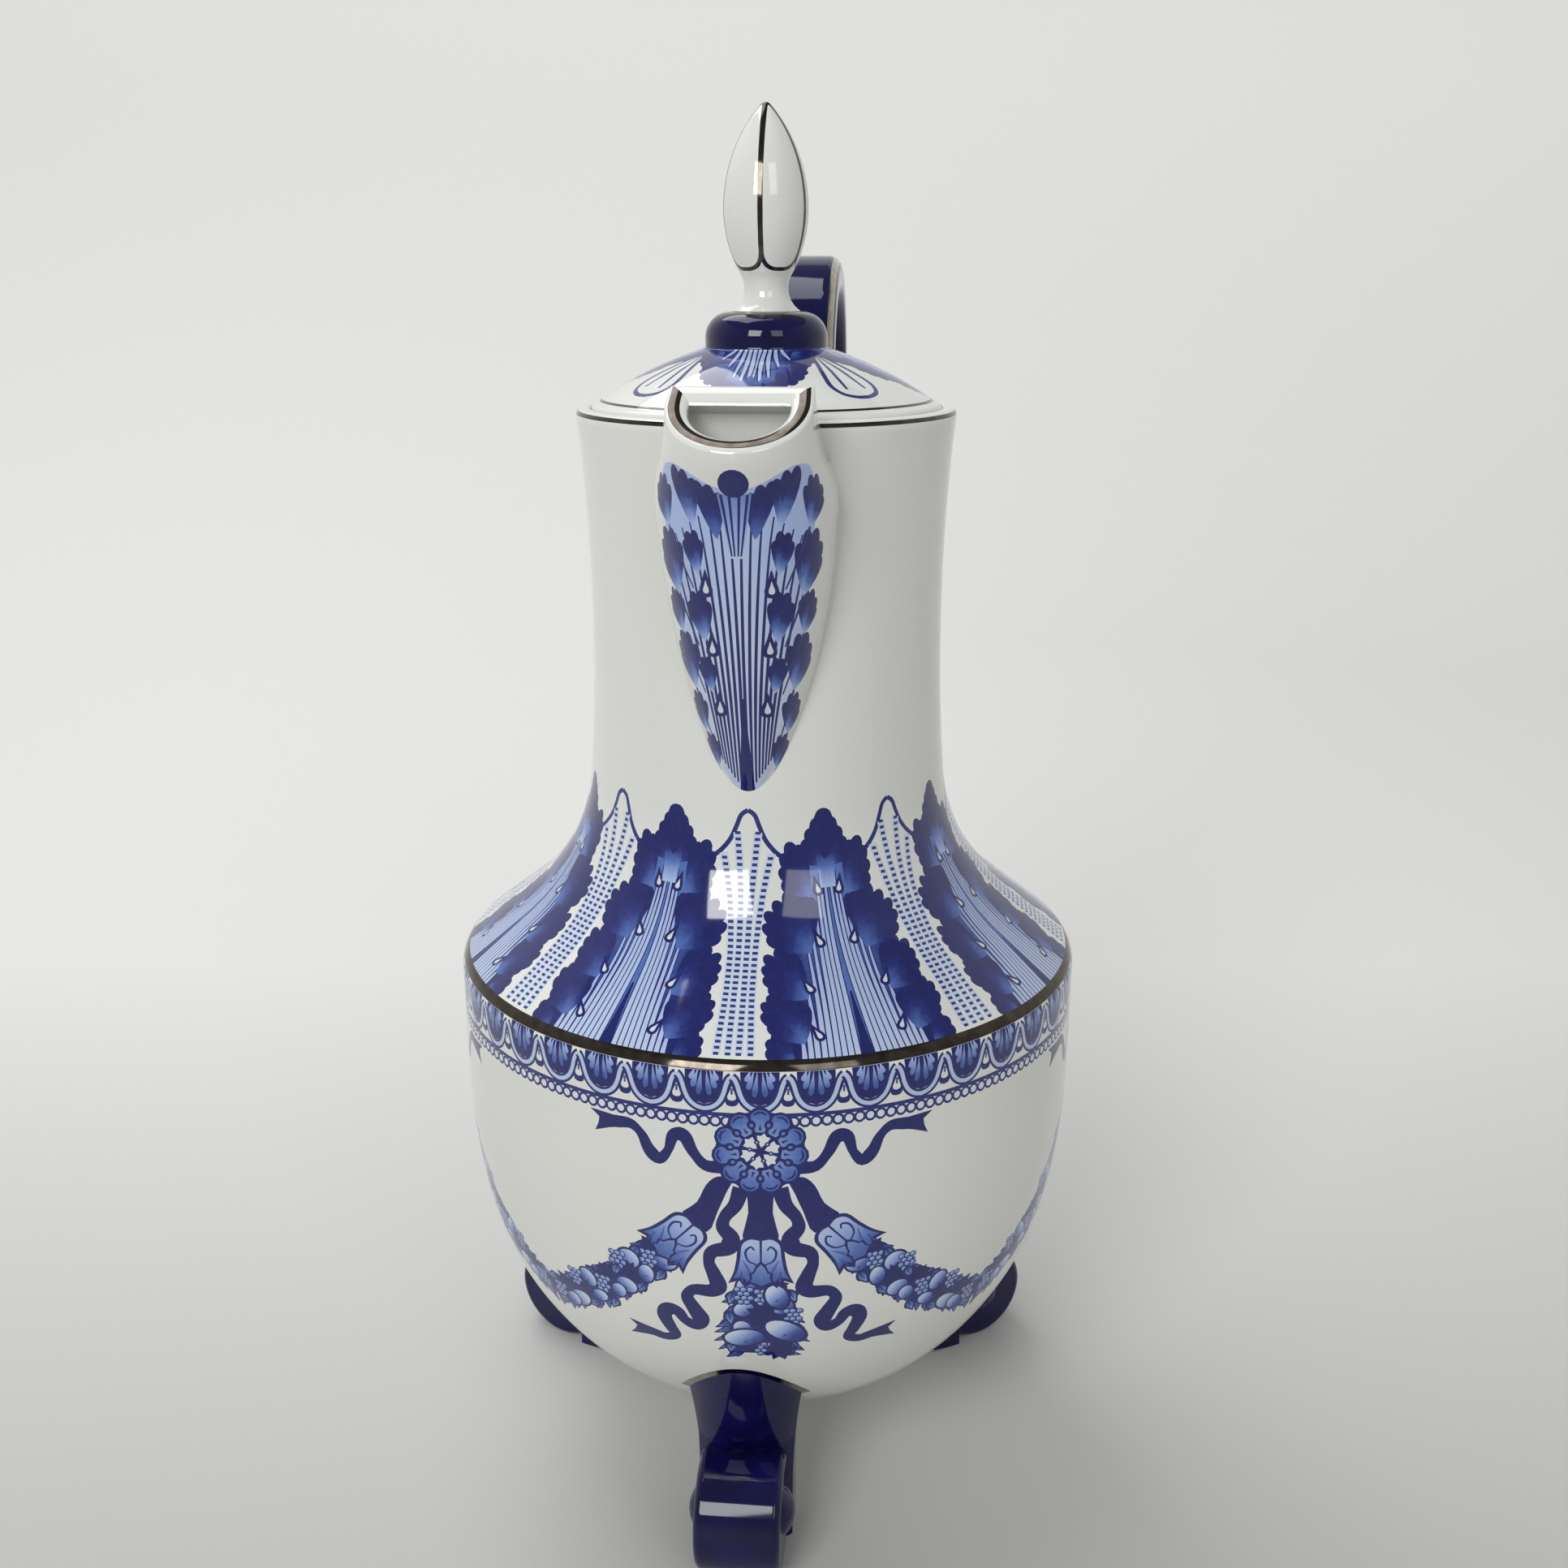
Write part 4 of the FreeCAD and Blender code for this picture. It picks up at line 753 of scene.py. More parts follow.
def strainer_holes(shell):
    """Lines the strainer's holes and gives their rims on the neck's outer and inner side."""
    ring = STRAINER_RING * np.exp(1j * np.radians(30 + 60 * np.arange(6)))
    outer_rims, inner_rims = [], []
    for centre in [0, *ring]:
        rim = oval(centre + 1j * STRAINER_LEVEL, STRAINER_HOLE, STRAINER_HOLE, count=20)
        tube = []
        for rims, along in ((outer_rims, BODY.outside(rim.imag)), (inner_rims, BODY.inside(rim.imag))):
            radius = BODY.at(along).real
            angle = np.arcsin(rim.real / radius)
            rims.append(angle * PLANE + 1j * along)
            tube.append(np.stack([rim.real, -radius * np.cos(angle), rim.imag], 1))
        tube = np.array(tube)
        shelf = BODY.chart(BODY.lengths[-1]) + np.array([2, 5])
        grid_patch(shell, np.concatenate([tube, tube[:, :1]], 1), WHITE, shelf)
    return outer_rims, inner_rims


def neck_bands(shell, stops, rows, rims):
    """Three plain rings of the neck, with the strainer's holes in the middle one."""
    for start, end, count, holes in zip(stops, stops[1:], rows, ((), rims, ())):
        band(shell, BODY, start, end, count, holes=holes)


def make_body(materials):
    """The turned shell with its printed belly and shoulder."""
    shell = Shell()
    low, line = BODY.outside(BELLY_PRINT)
    shoulder, plain = BODY.outside(SHOULDER_PRINT)
    rim, gallery = BODY.outside(RIM_LINE)
    band(shell, BODY, 0, low, 34)
    level = BELLY_DATUM - (BODY.outside(BELLY_DATUM) - low)
    belly = Turned(BODY, low, line, 360 / BELLY_COPIES, BELLY_TURN, level)
    art = egg_band() + on_axis(hangings() + rosette(), 0)
    shell.lay(belly, 80, 48, art, copies=BELLY_COPIES)
    band(shell, BODY, line, shoulder, 2, PLATINUM)
    half_turn = 180 / LEAVES
    leaves = Turned(BODY, shoulder, plain, 2 * half_turn, half_turn)
    art = on_axis(lancet(), -half_turn) + on_axis(lancet(), half_turn) + on_axis(leaf(), 0)
    shell.lay(leaves, 40, 32, art, copies=LEAVES)
    outer_rims, inner_rims = strainer_holes(shell)
    neck_bands(shell, [plain, *BODY.outside(STRAINER_ZONE), rim], (16, 14, 14), outer_rims)
    band(shell, BODY, rim, gallery, 4, PLATINUM)
    stops = [gallery, *BODY.inside(STRAINER_ZONE[::-1]), BODY.lengths[-1]]
    neck_bands(shell, stops, (30, 14, 70), inner_rims)
    return shell.build("body_glazed", materials)


# Half of a lid leaf, drawn from the collar outwards: each tuft's root and its finger tips.
LID_TUFTS = (
    (2.6 + 12.5j, (1.0 + 21.0j, 3.0 + 20.0j, 4.6 + 18.4j, 5.8 + 16.4j)),
    (5.2 + 7.5j, (6.4 + 15.8j, 8.4 + 15.0j, 9.8 + 13.2j, 10.5 + 11.2j, 10.4 + 9.2j)),
    (7.2 + 1.5j, (8.6 + 9.6j, 10.6 + 8.4j, 11.9 + 6.6j, 12.0 + 4.4j, 10.8 + 2.4j)),
)
LID_EDGE = (0.4 + 2j, 2.2 + 7j, 4.2 + 12.6j, 4.9 + 15.8j, 4.0 + 18.2j, 1.8 + 19.3j, 19.5j)


def lid_leaf():
    """A short leaf that spreads from the collar over the dome."""
    half = [(curve([10.4 - 1j, 9.6 + 4j, 7 + 9j, 4 + 14j, 18j, -1j], 3), (3 + 0j, MID, 8 + 0j, DEEP))]
    for index, end in enumerate((0.6 + 17j, 1.9 + 15j, 3.3 + 12j, 4.9 + 8.5j, 6.6 + 5j)):
        start = 0.5 + 0.9 * index - 1j
        path = curve([start, 0.5 * (start + end) - 0.3, end], 4)
        half += stroke(path, (1.2, 1.3, 1.0), DEEP)
        half += stroke(path, (0.6, 0.8, 0.4), 0.26)
    for root, tips in reversed(LID_TUFTS):
        half += cluster(root, tips, 2.8)
    return half + mirror(half) + cluster(12j, (22j,), 3.4)


def lid_lancet():
    """A pale loop between two lid leaves."""
    half = stroke(curve(LID_EDGE, 4), (0.8, 1.0, 1.0), 0.92)
    half += stroke([0.3 + 4j, 1.2 + 10j, 2.2 + 16.8j], (0.4, 0.8, 0.6), 0.85)
    return half + mirror(half)


# The lid's print: how often it comes, and its turn. Then the heights of the line below it, of the cobalt
# collar above it and of the collar's top, and how far a second line runs in over that top.
LID_COPIES, LID_TURN = 4, -1.4
LID_LINE, COLLAR, COLLAR_TOP, TOP_LINE = (230.25, 230.62), (240.3, 246.2), 247.0, 0.3


def make_lid(materials):
    """The lid with its printed dome, cobalt collar and platinum lines."""
    shell = Shell()
    edge, line = LID.outside(LID_LINE)
    foot, ring = LID.outside(COLLAR)
    top = LID.outside(COLLAR_TOP) + TOP_LINE
    band(shell, LID, 0, edge, 90)
    band(shell, LID, edge, line, 2, PLATINUM)
    dome, length = Turned(LID, line, foot, 360 / LID_COPIES, LID_TURN), foot - line
    lancet_art, half_turn = flip(lid_lancet(), length), 180 / LID_COPIES
    art = on_axis(lancet_art, -half_turn) + on_axis(lancet_art, half_turn)
    art += on_axis(flip(lid_leaf(), length), 0)
    shell.lay(dome, 80, 20, art, copies=LID_COPIES)
    band(shell, LID, foot, ring, 14, DEEP, 2)
    band(shell, LID, ring, top, 4, PLATINUM)
    band(shell, LID, top, LID.lengths[-1], 2, DEEP, 2)
    return shell.build("lid_glazed", materials)


# The finial's petals, their turn, and the heights that they are drawn between.
PETALS, PETAL_TURN, PETAL_ZONE = 5, 34.0, (253.5, 284.4)
FINIAL_COLUMNS = 160


def petal():
    """A petal's outline: down its sides and round its foot."""
    half_turn = math.pi / PETALS
    heights = np.array([284.6, 282, 278, 273, 268, 263, 259.5])
    side = FINIAL.radius(heights) * half_turn - 0.12 + 1j * FINIAL.outside(heights)
    foot = FINIAL.outside(254.9)
    turned = [4.0 + 1j * (foot + 2.6), 2.9 + 1j * (foot + 0.9), 1.5 + 1j * (foot + 0.15), 1j * foot]
    half = stroke(curve([*side, *turned], 4), (0.8, 0.75, 0.8), PLATINUM)
    return half + mirror(half)


def make_finial(materials):
    """The bud with its petals outlined in platinum."""
    shell = Shell()
    low, high = FINIAL.outside(PETAL_ZONE)
    band(shell, FINIAL, 0, low, 24, columns=FINIAL_COLUMNS)
    petals = Turned(FINIAL, low, high, 360 / PETALS, PETAL_TURN, low)
    shell.lay(petals, 32, 60, on_axis(petal(), 0), copies=PETALS)
    band(shell, FINIAL, high, FINIAL.lengths[-1], 4, PLATINUM, columns=FINIAL_COLUMNS)
    return shell.build("finial_glazed", materials)


# The spout: its width and reach at each height, its bridge behind the mouth and the mouth's slope.
SPOUT_SHARES = np.linspace(0, 1, 9)
SPOUT_LEVELS = 158.013 + 59.0 * SPOUT_SHARES
SPOUT_TOP = (226.013, 238.813)
SPOUT_WIDTHS = curve([*(SPOUT_LEVELS + 1j * (33.0 - 24.1 * (1 - SPOUT_SHARES) ** 2)),
                      SPOUT_TOP[0] + 27.5j, SPOUT_TOP[1] + 24.6j], 6)
SPOUT_REACHES = curve([*(SPOUT_LEVELS + 1j * (35.7 + 18.3 * SPOUT_SHARES ** 0.85)),
                       SPOUT_TOP[0] + 58j, SPOUT_TOP[1] + 58j], 6)
NOTCH, BRIDGE_REACH, BRIDGE_LEAN = 222.013, 37.74, 0.2643
MOUTH_HEIGHT, MOUTH_REACH, MOUTH_SLOPE = 236.013, 41.44, 0.5737
SPOUT_WALL, LIP = 2.8, 1.1
# How far the spout's flanks reach into the neck's wall.
SUNK = 1.6
# The lip is thicker than the wall below it, and slopes into the channel; the channel's back is at the neck.
LIP_WALL, LIP_DROP, LIP_EASE, CHANNEL_BACK, CHANNEL_FOOT = 4.0, 0.7, 8.0, 38.0, 168.0
# Cells of the spout's nets: round the mouth, over the lip and down the channel, and on the bridge.
MOUTH_STEPS, LIP_STEPS, CHANNEL_STEPS = 80, 20, 29
BRIDGE_ROWS, BRIDGE_STEPS, HOLLOW_STEPS = 15, 20, 14
# Which of the lip's cells are metal, and where the nets lie in the texture chart.
LIP_METAL = slice(5, 12)
LIP_SHELF, CHANNEL_SHELF, BRIDGE_SHELF, HOLLOW_SHELF = (72, 84), (86, 92), (94, 97), (98, 100)


class Beak:
    """The spout's wall laid flat from flank to flank: its length round the nose across, its height up.

    It answers to the same calls as Turned; its drawings have one axis only.
    """
    # The wall's lowest height, and half the width and the height of its plane.
    low, half, tall = 157.2, 37.0, 70.0

    def __init__(self, inset=0.0):
        self.inset = inset

    def back(self, height):
        """The reach of the bridge's back."""
        return BRIDGE_REACH + self.inset + (height - NOTCH) * BRIDGE_LEAN

    def sizes(self, height):
        """Half the width, the reach at which the nose begins, and the length of wall on each side."""
        half = np.interp(height, SPOUT_WIDTHS.real, SPOUT_WIDTHS.imag) / 2 - self.inset
        nose = np.interp(height, SPOUT_REACHES.real, SPOUT_REACHES.imag) - self.inset - half
        in_wall = np.sqrt((BODY.radius(height) - SUNK) ** 2 - half ** 2)
        back = np.where(height > NOTCH, self.back(height), in_wall)
        return half, nose, half * math.pi / 2 + nose - back

    def place(self, along, height):
        """Across and reach of a point of the wall."""
        half, nose, end = self.sizes(height)
        along = np.clip(along, -end, end)
        angle = np.clip(along / half, -math.pi / 2, math.pi / 2)
        straight = np.maximum(np.abs(along) - half * math.pi / 2, 0)
        return half * np.sin(angle), nose + half * np.cos(angle) - straight

    def mouth(self, along):
        """The height of the wall's top edge, below the lip's round."""
        height = np.full(np.shape(along), MOUTH_HEIGHT)
        for _ in range(8):
            height = MOUTH_HEIGHT - LIP - MOUTH_SLOPE * (self.place(along, height)[1] - MOUTH_REACH)
        return height

    def corners(self):
        return complex(-self.half, 0), complex(self.half, self.tall)

    def flat(self, outline, axis):
        share = (outline.imag - self.low) / (self.mouth(outline.real) - self.low)
        return outline.real + 1j * self.tall * share

    def local(self, points, axis):
        return points.real + 1j * (self.low + points.imag / self.tall * (self.mouth(points.real) - self.low))

    def chart(self, plane):
        return plane.imag

    def points(self, plane):
        """Plane points in space."""
        spot = self.local(plane, 0)
        across, reach = self.place(spot.real, spot.imag)
        return np.stack([across, -reach, spot.imag], -1)

    def solid(self, plane):
        """Plane points in space, and the way that the wall faces there, from points a little to each side."""
        reach, margin = 0.2, 0.3
        end = self.sizes(self.local(plane, 0).imag)[2] - margin
        inner = np.clip(plane.real, -end, end) + 1j * plane.imag
        way_across = self.points(inner + reach) - self.points(inner - reach)
        way_up = self.points(inner + 1j * reach) - self.points(inner - 1j * reach)
        normals = np.cross(way_across, way_up)
        return self.points(plane), normals / np.linalg.norm(normals, axis=1, keepdims=True)


# How far the spout's leaf reaches from its middle at some heights.
SPOUT_LEAF_EDGE = ((160, 165, 172, 186, 203, 214, 224), (3.0, 7.0, 10.4, 13.8, 16.2, 17.2, 17.2))
# The tufts at the leaf's edge and half way to it: each one's height and size, and where its fingers end.
EDGE_TUFTS = ((168.5, 0.8), (176.5, 0.9), (187, 1.2), (196.5, 0.9), (206, 1.3), (217, 1.0))
EDGE_FINGERS = (-3.8 + 2.6j, -2.2 + 4.4j, -0.4 + 4.4j, 0.6 + 2.4j, 0.5 + 0.4j)
INNER_TUFTS = ((186, 0.8), (198, 1.1), (209.5, 0.9))
INNER_FINGERS = (-1.7 + 0.8j, -0.6 + 2.6j, 1.2 + 2.2j, 2.0 + 0.4j)


def spout_leaf():
    """The leaf that climbs the spout from a narrow foot and opens under the lip."""
    ground = [160j, 2.4 + 161j, 5.6 + 166j, 8.6 + 174j, 11.8 + 188j, 14 + 202j,
              15.2 + 212j, 15.6 + 222j, 12 + 223.4j, 8 + 222j, 4 + 220j, 219j]
    half = [(curve(ground, 4), (2 + 190j, 0.16, 15 + 200j, 0.30))]
    share = np.linspace(0, 1, 16)
    for index in range(8):
        start = 0.5 + 0.62 * index + 1j * (160.4 + 0.9 * index)
        end = 1.2 + 1.85 * index + 1j * (218 - 1.2 * index)
        across = end.real + (start.real - end.real) * (1 - share) ** 0.8 - 1.4 * share * (1 - share)
        half += stroke(across + 1j * (start.imag + (end - start).imag * share), (0.35, 0.6, 0.55, 0.3), 0.95)
    for height, size in EDGE_TUFTS:
        edge = np.interp(height, *SPOUT_LEAF_EDGE) + 1j * height
        root = edge - (3.0 + 4.6j) * size
        half += stroke([0.5 * edge.real + 1j * (height - 16), root], (0.3, 0.6), 0.9)
        half += cluster(root, [edge + size * tip for tip in EDGE_FINGERS], 2.1 * size, LIGHT)
    for height, size in INNER_TUFTS:
        spot = 0.5 * np.interp(height, *SPOUT_LEAF_EDGE) + 1j * height
        root = spot - 0.9 - 6j * size
        half += cluster(root, [spot + size * tip for tip in INNER_FINGERS], 2.2 * size, LIGHT)
        half += bead_drop(spot - 2.4 - 4.6j, -1j, 5.4)
    half += cluster(3.4 + 211j, (2.8 + 218.8j, 4.8 + 220.2j, 7.0 + 220.8j), 2.5)
    half += cluster(8.0 + 213j, (7.6 + 221.2j, 9.8 + 222.6j, 12.2 + 223.2j), 2.5, LIGHT)
    bud = [(np.array([-1.1 + 207j, 1.1 + 207j, 3.0 + 218.6j, -3.0 + 218.6j]), (207j, 0.24, 218j, 0.55))]
    for lean in (-0.8, -0.3, 0.3, 0.8):
        bud += stroke([lean + 207.4j, 2.9 * lean + 218.4j], (0.3, 0.55), 0.95)
    bud.append((oval(220.4j, 2.7, 2.5, count=18), DEEP))
    foot = [(np.array([-1.5 + 159.0j, 1.5 + 159.0j, 1.1 + 166j, 0.2 + 180j, -0.2 + 180j, -1.1 + 166j]), DEEP)]
    return half + mirror(half) + bud + foot


def mouth_edge(wall, shares):
    """The wall's top edge: round the front, then back across the bridge."""
    along = shares * Beak.half
    for _ in range(3):
        along = shares * wall.sizes(wall.mouth(along))[2]
    height = wall.mouth(along)
    across, reach = wall.place(along, height)
    front = row_of(across, reach, height)
    share = np.linspace(0, 1, BRIDGE_STEPS + 1)[1:, None]
    return np.concatenate([front, front[-1] + share * (front[0] - front[-1])])


def lined_wall(below_lip):
    """The channel's wall some way below the lip's inner edge."""
    return Beak(SPOUT_WALL + (LIP_WALL - SPOUT_WALL) * np.maximum(0, 1 - below_lip / LIP_EASE))


def row_of(across, reach, height):
    """A row of points at one height, or at each point's own."""
    return np.stack([across, -reach, np.broadcast_to(height, across.shape)], 1)


def bridge_faces(outer, behind_top, front_top):
    """The bridge's plain back, and its front: a bar with a hollow under it."""
    behind, front = [], []
    for share in np.linspace(0, 1, BRIDGE_ROWS + 1):
        height = behind_top * (1 - share) + NOTCH * share
        across = outer.sizes(height)[0] * np.linspace(-1, 1, BRIDGE_STEPS + 1)
        behind.append(row_of(across, np.full(len(across), outer.back(height)), height))
        height = front_top * (1 - share) + NOTCH * share
        wall = lined_wall(front_top - height)
        back = wall.back(height)
        deep = back + (CHANNEL_BACK - back) * min(1, 4 * share)
        across = wall.sizes(height)[0] * np.concatenate([[1], np.linspace(1, -1, HOLLOW_STEPS + 1), [-1]])
        reach = np.concatenate([[back], np.full(HOLLOW_STEPS + 1, deep), [back]])
        front.append(row_of(across, reach, height))
    return np.array(behind), np.array(front)


def make_spout(materials):
    """The beak with its leaf, its rounded lip with a platinum line, and its channel."""
    shell = Shell()
    outer = Beak()
    shell.lay(outer, 90, 80, on_axis(spout_leaf(), 0))
    shares = np.linspace(-1, 1, MOUTH_STEPS + 1)
    outside, inside = mouth_edge(outer, shares), mouth_edge(Beak(LIP_WALL), shares)
    inside[:, 2] -= LIP_DROP
    lip = []
    for turn in np.linspace(0, math.pi, LIP_STEPS + 1):
        share = (1 - math.cos(turn)) / 2
        lip.append(outside + share * (inside - outside) + np.array([0, 0, LIP * math.sin(turn)]))
    ink = np.full((LIP_STEPS, len(outside) - 1), WHITE)
    ink[LIP_METAL, :MOUTH_STEPS] = PLATINUM
    grid_patch(shell, np.array(lip), ink, LIP_SHELF)
    front = inside[:MOUTH_STEPS + 1]
    walls = [front]
    for drop in np.linspace(0, 1, CHANNEL_STEPS + 1)[1:]:
        height = front[:, 2] * (1 - drop) + CHANNEL_FOOT * drop
        wall = lined_wall(front[:, 2] - height)
        across, reach = wall.place(shares * wall.sizes(height)[2], height)
        walls.append(row_of(across, reach, height))
    grid_patch(shell, np.array(walls), WHITE, CHANNEL_SHELF)
    behind, hollow = bridge_faces(outer, outside[MOUTH_STEPS, 2], inside[MOUTH_STEPS, 2])
    grid_patch(shell, behind, WHITE, BRIDGE_SHELF)
    grid_patch(shell, hollow, WHITE, HOLLOW_SHELF)
    return shell.build("spout_glazed", materials)


def smooth_mesh(name, points, faces, material):
    """A smooth mesh of one material, about the pot's axis."""
    mesh = bpy.data.meshes.new(name)
    mesh.from_pydata(points, [], faces)
    mesh.polygons.foreach_set("use_smooth", [True] * len(faces))
    mesh.materials.append(material)
    return add_object(name, mesh)


def strip(name, lines, material):
    """A thin band of metal between lines of points, each line a row of the band."""
    points = np.concatenate(lines) * MM
    faces = cells(np.arange(len(points)).reshape(len(lines), -1))
    return smooth_mesh(name, points.tolist(), faces.tolist(), material)


# Half the strap's width and depth, the round of its corners, and the part of a round that a line covers.
HANDLE_HALF_WIDTH, HANDLE_HALF_DEPTH, HANDLE_ROUND, HANDLE_LINE = 10.0, 4.5, 3.2, (28, 62)
# How far off the neck and the shoulder the lines stop.
HANDLE_CLEAR = 0.5


def handle_lines(material):
    """The platinum lines along the strap's two outer corners."""
    along = np.linspace(0, HANDLE.lengths[-1], 160)
    spot, out = HANDLE.at(along), -HANDLE.facing(along)
    clear = np.array([point.real > BODY.radius(point.imag) + HANDLE_CLEAR for point in spot])
    spot, out = spot[clear], out[clear]
    pieces = []
    for name, side in (("left", -1), ("right", 1)):
        lines = []
        for turn in np.radians(np.linspace(*HANDLE_LINE, 5)):
            deep = HANDLE_HALF_DEPTH - HANDLE_ROUND + (HANDLE_ROUND + RAISED) * math.cos(turn)
            wide = HANDLE_HALF_WIDTH - HANDLE_ROUND + (HANDLE_ROUND + RAISED) * math.sin(turn)
            edge = spot + out * deep
            lines.append(np.stack([np.full(len(edge), side * wide), edge.real, edge.imag], 1))
        pieces.append(strip(f"handle_line_{name}", lines[::-side], material))
    return pieces


# The leg's front outline about its crown axis: from its crevice to its head, on a round of its own.
CROWN_AXIS, LEG_FOOT, LEG_HEAD, LEG_ROUND = 38.396, 13.0 + 22.876j, 22.935 + 60j, 160.0
LEG_HALF_WIDTH = 13.4
# The line's width on the belly, how far it laps under the leg, and the heights between which they meet.
FOOT_LINE, FOOT_LAP, CROWN_ZONE = 1.6, 0.3, (26, 52)


def leg_radius(height):
    """How far the leg's front stands from its crown axis."""
    chord = LEG_HEAD - LEG_FOOT
    rise = math.sqrt(LEG_ROUND ** 2 - abs(chord) ** 2 / 4)
    centre = (LEG_FOOT + LEG_HEAD) / 2 - 1j * chord / abs(chord) * rise
    return centre.real - np.sqrt(LEG_ROUND ** 2 - (height - centre.imag) ** 2)


def foot_line(name, azimuth, material):
    """The platinum line where a foot's crown meets the belly."""
    heights = np.linspace(*CROWN_ZONE, 400)
    belly = BODY.radius(heights)
    leg = leg_radius(heights)
    points = []
    # The line ends at the leg's sides, measured five eighths of the way up the zone.
    widest = math.asin(LEG_HALF_WIDTH / leg[len(leg) * 5 // 8])
    for turn in np.linspace(-widest, widest, 41):
        gap = np.hypot(CROWN_AXIS + leg * math.cos(turn), leg * math.sin(turn)) - belly
        level = heights[np.argmax(gap < 0)]
        radius = leg_radius(level)
        points.append((CROWN_AXIS + radius * math.cos(turn), radius * math.sin(turn), level))
    points = np.array(points)
    face = BODY.facing(BODY.outside(points[:, 2]))
    spin = points[:, 0] + 1j * points[:, 1]
    spin /= np.abs(spin)
    normals = np.stack([face.real * spin.real, face.real * spin.imag, face.imag], 1)
    away = np.cross(normals, np.gradient(points, axis=0))
    away /= np.linalg.norm(away, axis=1, keepdims=True)
    lines = [points + normals * RAISED + away * shift for shift in (-FOOT_LAP, FOOT_LINE / 2, FOOT_LINE)]
    turn = Matrix.Rotation(math.radians(azimuth), 3, "Z")
    return strip(name, [line @ np.array(turn).T for line in lines], material)


def make_camera():
    """The photograph's camera."""
    data = bpy.data.cameras.new("camera")
    data.sensor_width = SENSOR
    data.lens = FOCAL_PIXELS * SENSOR / IMAGE_SIDE
    data.clip_start = 0.01
    camera = bpy.data.objects.new("camera", data)
    bpy.context.scene.collection.objects.link(camera)
    swing = Matrix.Rotation(CAMERA_SWING, 4, "Z")
    tilt = Matrix.Rotation(math.pi / 2 - CAMERA_PITCH, 4, "X")
    stand = Matrix.Translation(AXIS_PLACE * MM)
    camera.matrix_world = stand @ swing @ Matrix.Translation(Vector(CAMERA_PLACE) * MM) @ tilt
    bpy.context.scene.camera = camera


def principled(name, roughness, metallic=0.0, specular=0.42):
    """A material with a Principled shader, and the shader."""
    material = bpy.data.materials.new(name)
    material.use_nodes = True
    shader = material.node_tree.nodes["Principled BSDF"]
    shader.inputs["Roughness"].default_value = roughness
    shader.inputs["Metallic"].default_value = metallic
    shader.inputs["Specular IOR Level"].default_value = specular
    return material, shader


def node(material, kind, **inputs):
    """A shader node with its plain inputs set."""
    item = material.node_tree.nodes.new(kind)
    for name, value in inputs.items():
        item.inputs[name].default_value = value
    return item


def link(material, source, target):
    """Leads a node's output into an input."""
    material.node_tree.links.new(source, target)


def ramp(material, source, stops):
    """A colour ramp over a value."""
    item = node(material, "ShaderNodeValToRGB")
    elements = item.color_ramp.elements
    while len(elements) < len(stops):
        elements.new(0.5)
    for element, (position, colour) in zip(elements, stops):
        element.position = position
        element.color = (*colour, 1)
    link(material, source, item.inputs["Fac"])
    return item.outputs["Color"]


def span(material, source, start, end, first, last):
    """A value carried evenly from one span to another."""
    item = node(material, "ShaderNodeMapRange")
    for name, value in zip(("From Min", "From Max", "To Min", "To Max"), (start, end, first, last)):
        item.inputs[name].default_value = value
    link(material, source, item.inputs["Value"])
    return item.outputs["Result"]


def product(material, *sources):
    """Two values multiplied."""
    item = node(material, "ShaderNodeMath")
    item.operation = "MULTIPLY"
    for source, target in zip(sources, item.inputs):
        link(material, source, target)
    return item.outputs["Value"]


def own_place(material):
    """Places in the object's own space."""
    return node(material, "ShaderNodeTexCoord").outputs["Object"]


def noise(material, scale, detail=2.0):
    """Noise in the object's own space."""
    item = node(material, "ShaderNodeTexNoise", Scale=scale, Detail=detail)
    link(material, own_place(material), item.inputs["Vector"])
    return item.outputs["Fac"]


def ripple(material, shader, scale, strength):
    """A faint unevenness of the surface."""
    bump = node(material, "ShaderNodeBump", Strength=strength, Distance=0.0002)
    link(material, noise(material, scale), bump.inputs["Height"])
    link(material, bump.outputs["Normal"], shader.inputs["Normal"])


def mottle(material, shader, scale, dark, light):
    """A colour that wanders between two tones."""
    colour = ramp(material, noise(material, scale), ((0.3, dark), (0.7, light)))
    link(material, colour, shader.inputs["Base Color"])


# The glaze's colour at each depth of ink.
INK_STOPS = (
    (0.0, (0.78, 0.79, 0.75)), (0.14, (0.60, 0.68, 0.82)), (0.34, (0.36, 0.47, 0.80)),
    (0.64, (0.085, 0.16, 0.47)), (0.86, (0.018, 0.030, 0.20)), (1.0, (0.0085, 0.0125, 0.125)))


def printed_glaze():
    """White porcelain with a blue print under its glaze; the print's depth is the mesh's own ink."""
    material, shader = principled("printed_glaze", 0.06, specular=0.75)
    ink = node(material, "ShaderNodeAttribute")
    ink.attribute_name = "ink"
    wander = span(material, noise(material, 900.0, 4.0), 0.0, 1.0, 0.9, 1.08)
    colour = ramp(material, product(material, ink.outputs["Fac"], wander), INK_STOPS)
    link(material, colour, shader.inputs["Base Color"])
    ripple(material, shader, 60.0, 0.03)
    return material


def cobalt_glaze():
    """Solid deep blue under a clear glaze."""
    material, shader = principled("cobalt_glaze", 0.06)
    mottle(material, shader, 120.0, (0.0035, 0.003, 0.040), (0.007, 0.006, 0.075))
    ripple(material, shader, 80.0, 0.04)
    return material


def platinum(name, dark, light):
    """A fired metal line, between a darker and a lighter tone."""
    material, shader = principled(name, 0.08, 1.0)
    mottle(material, shader, 400.0, dark, light)
    return material


# The stage is a round tent of pale paper: its radius, the round from its floor to its wall, and its height.
TENT, TENT_BEND, TENT_TOP = 1.25, 0.4, 1.4
TENT_COLUMNS, BEND_ROWS = 96, 12
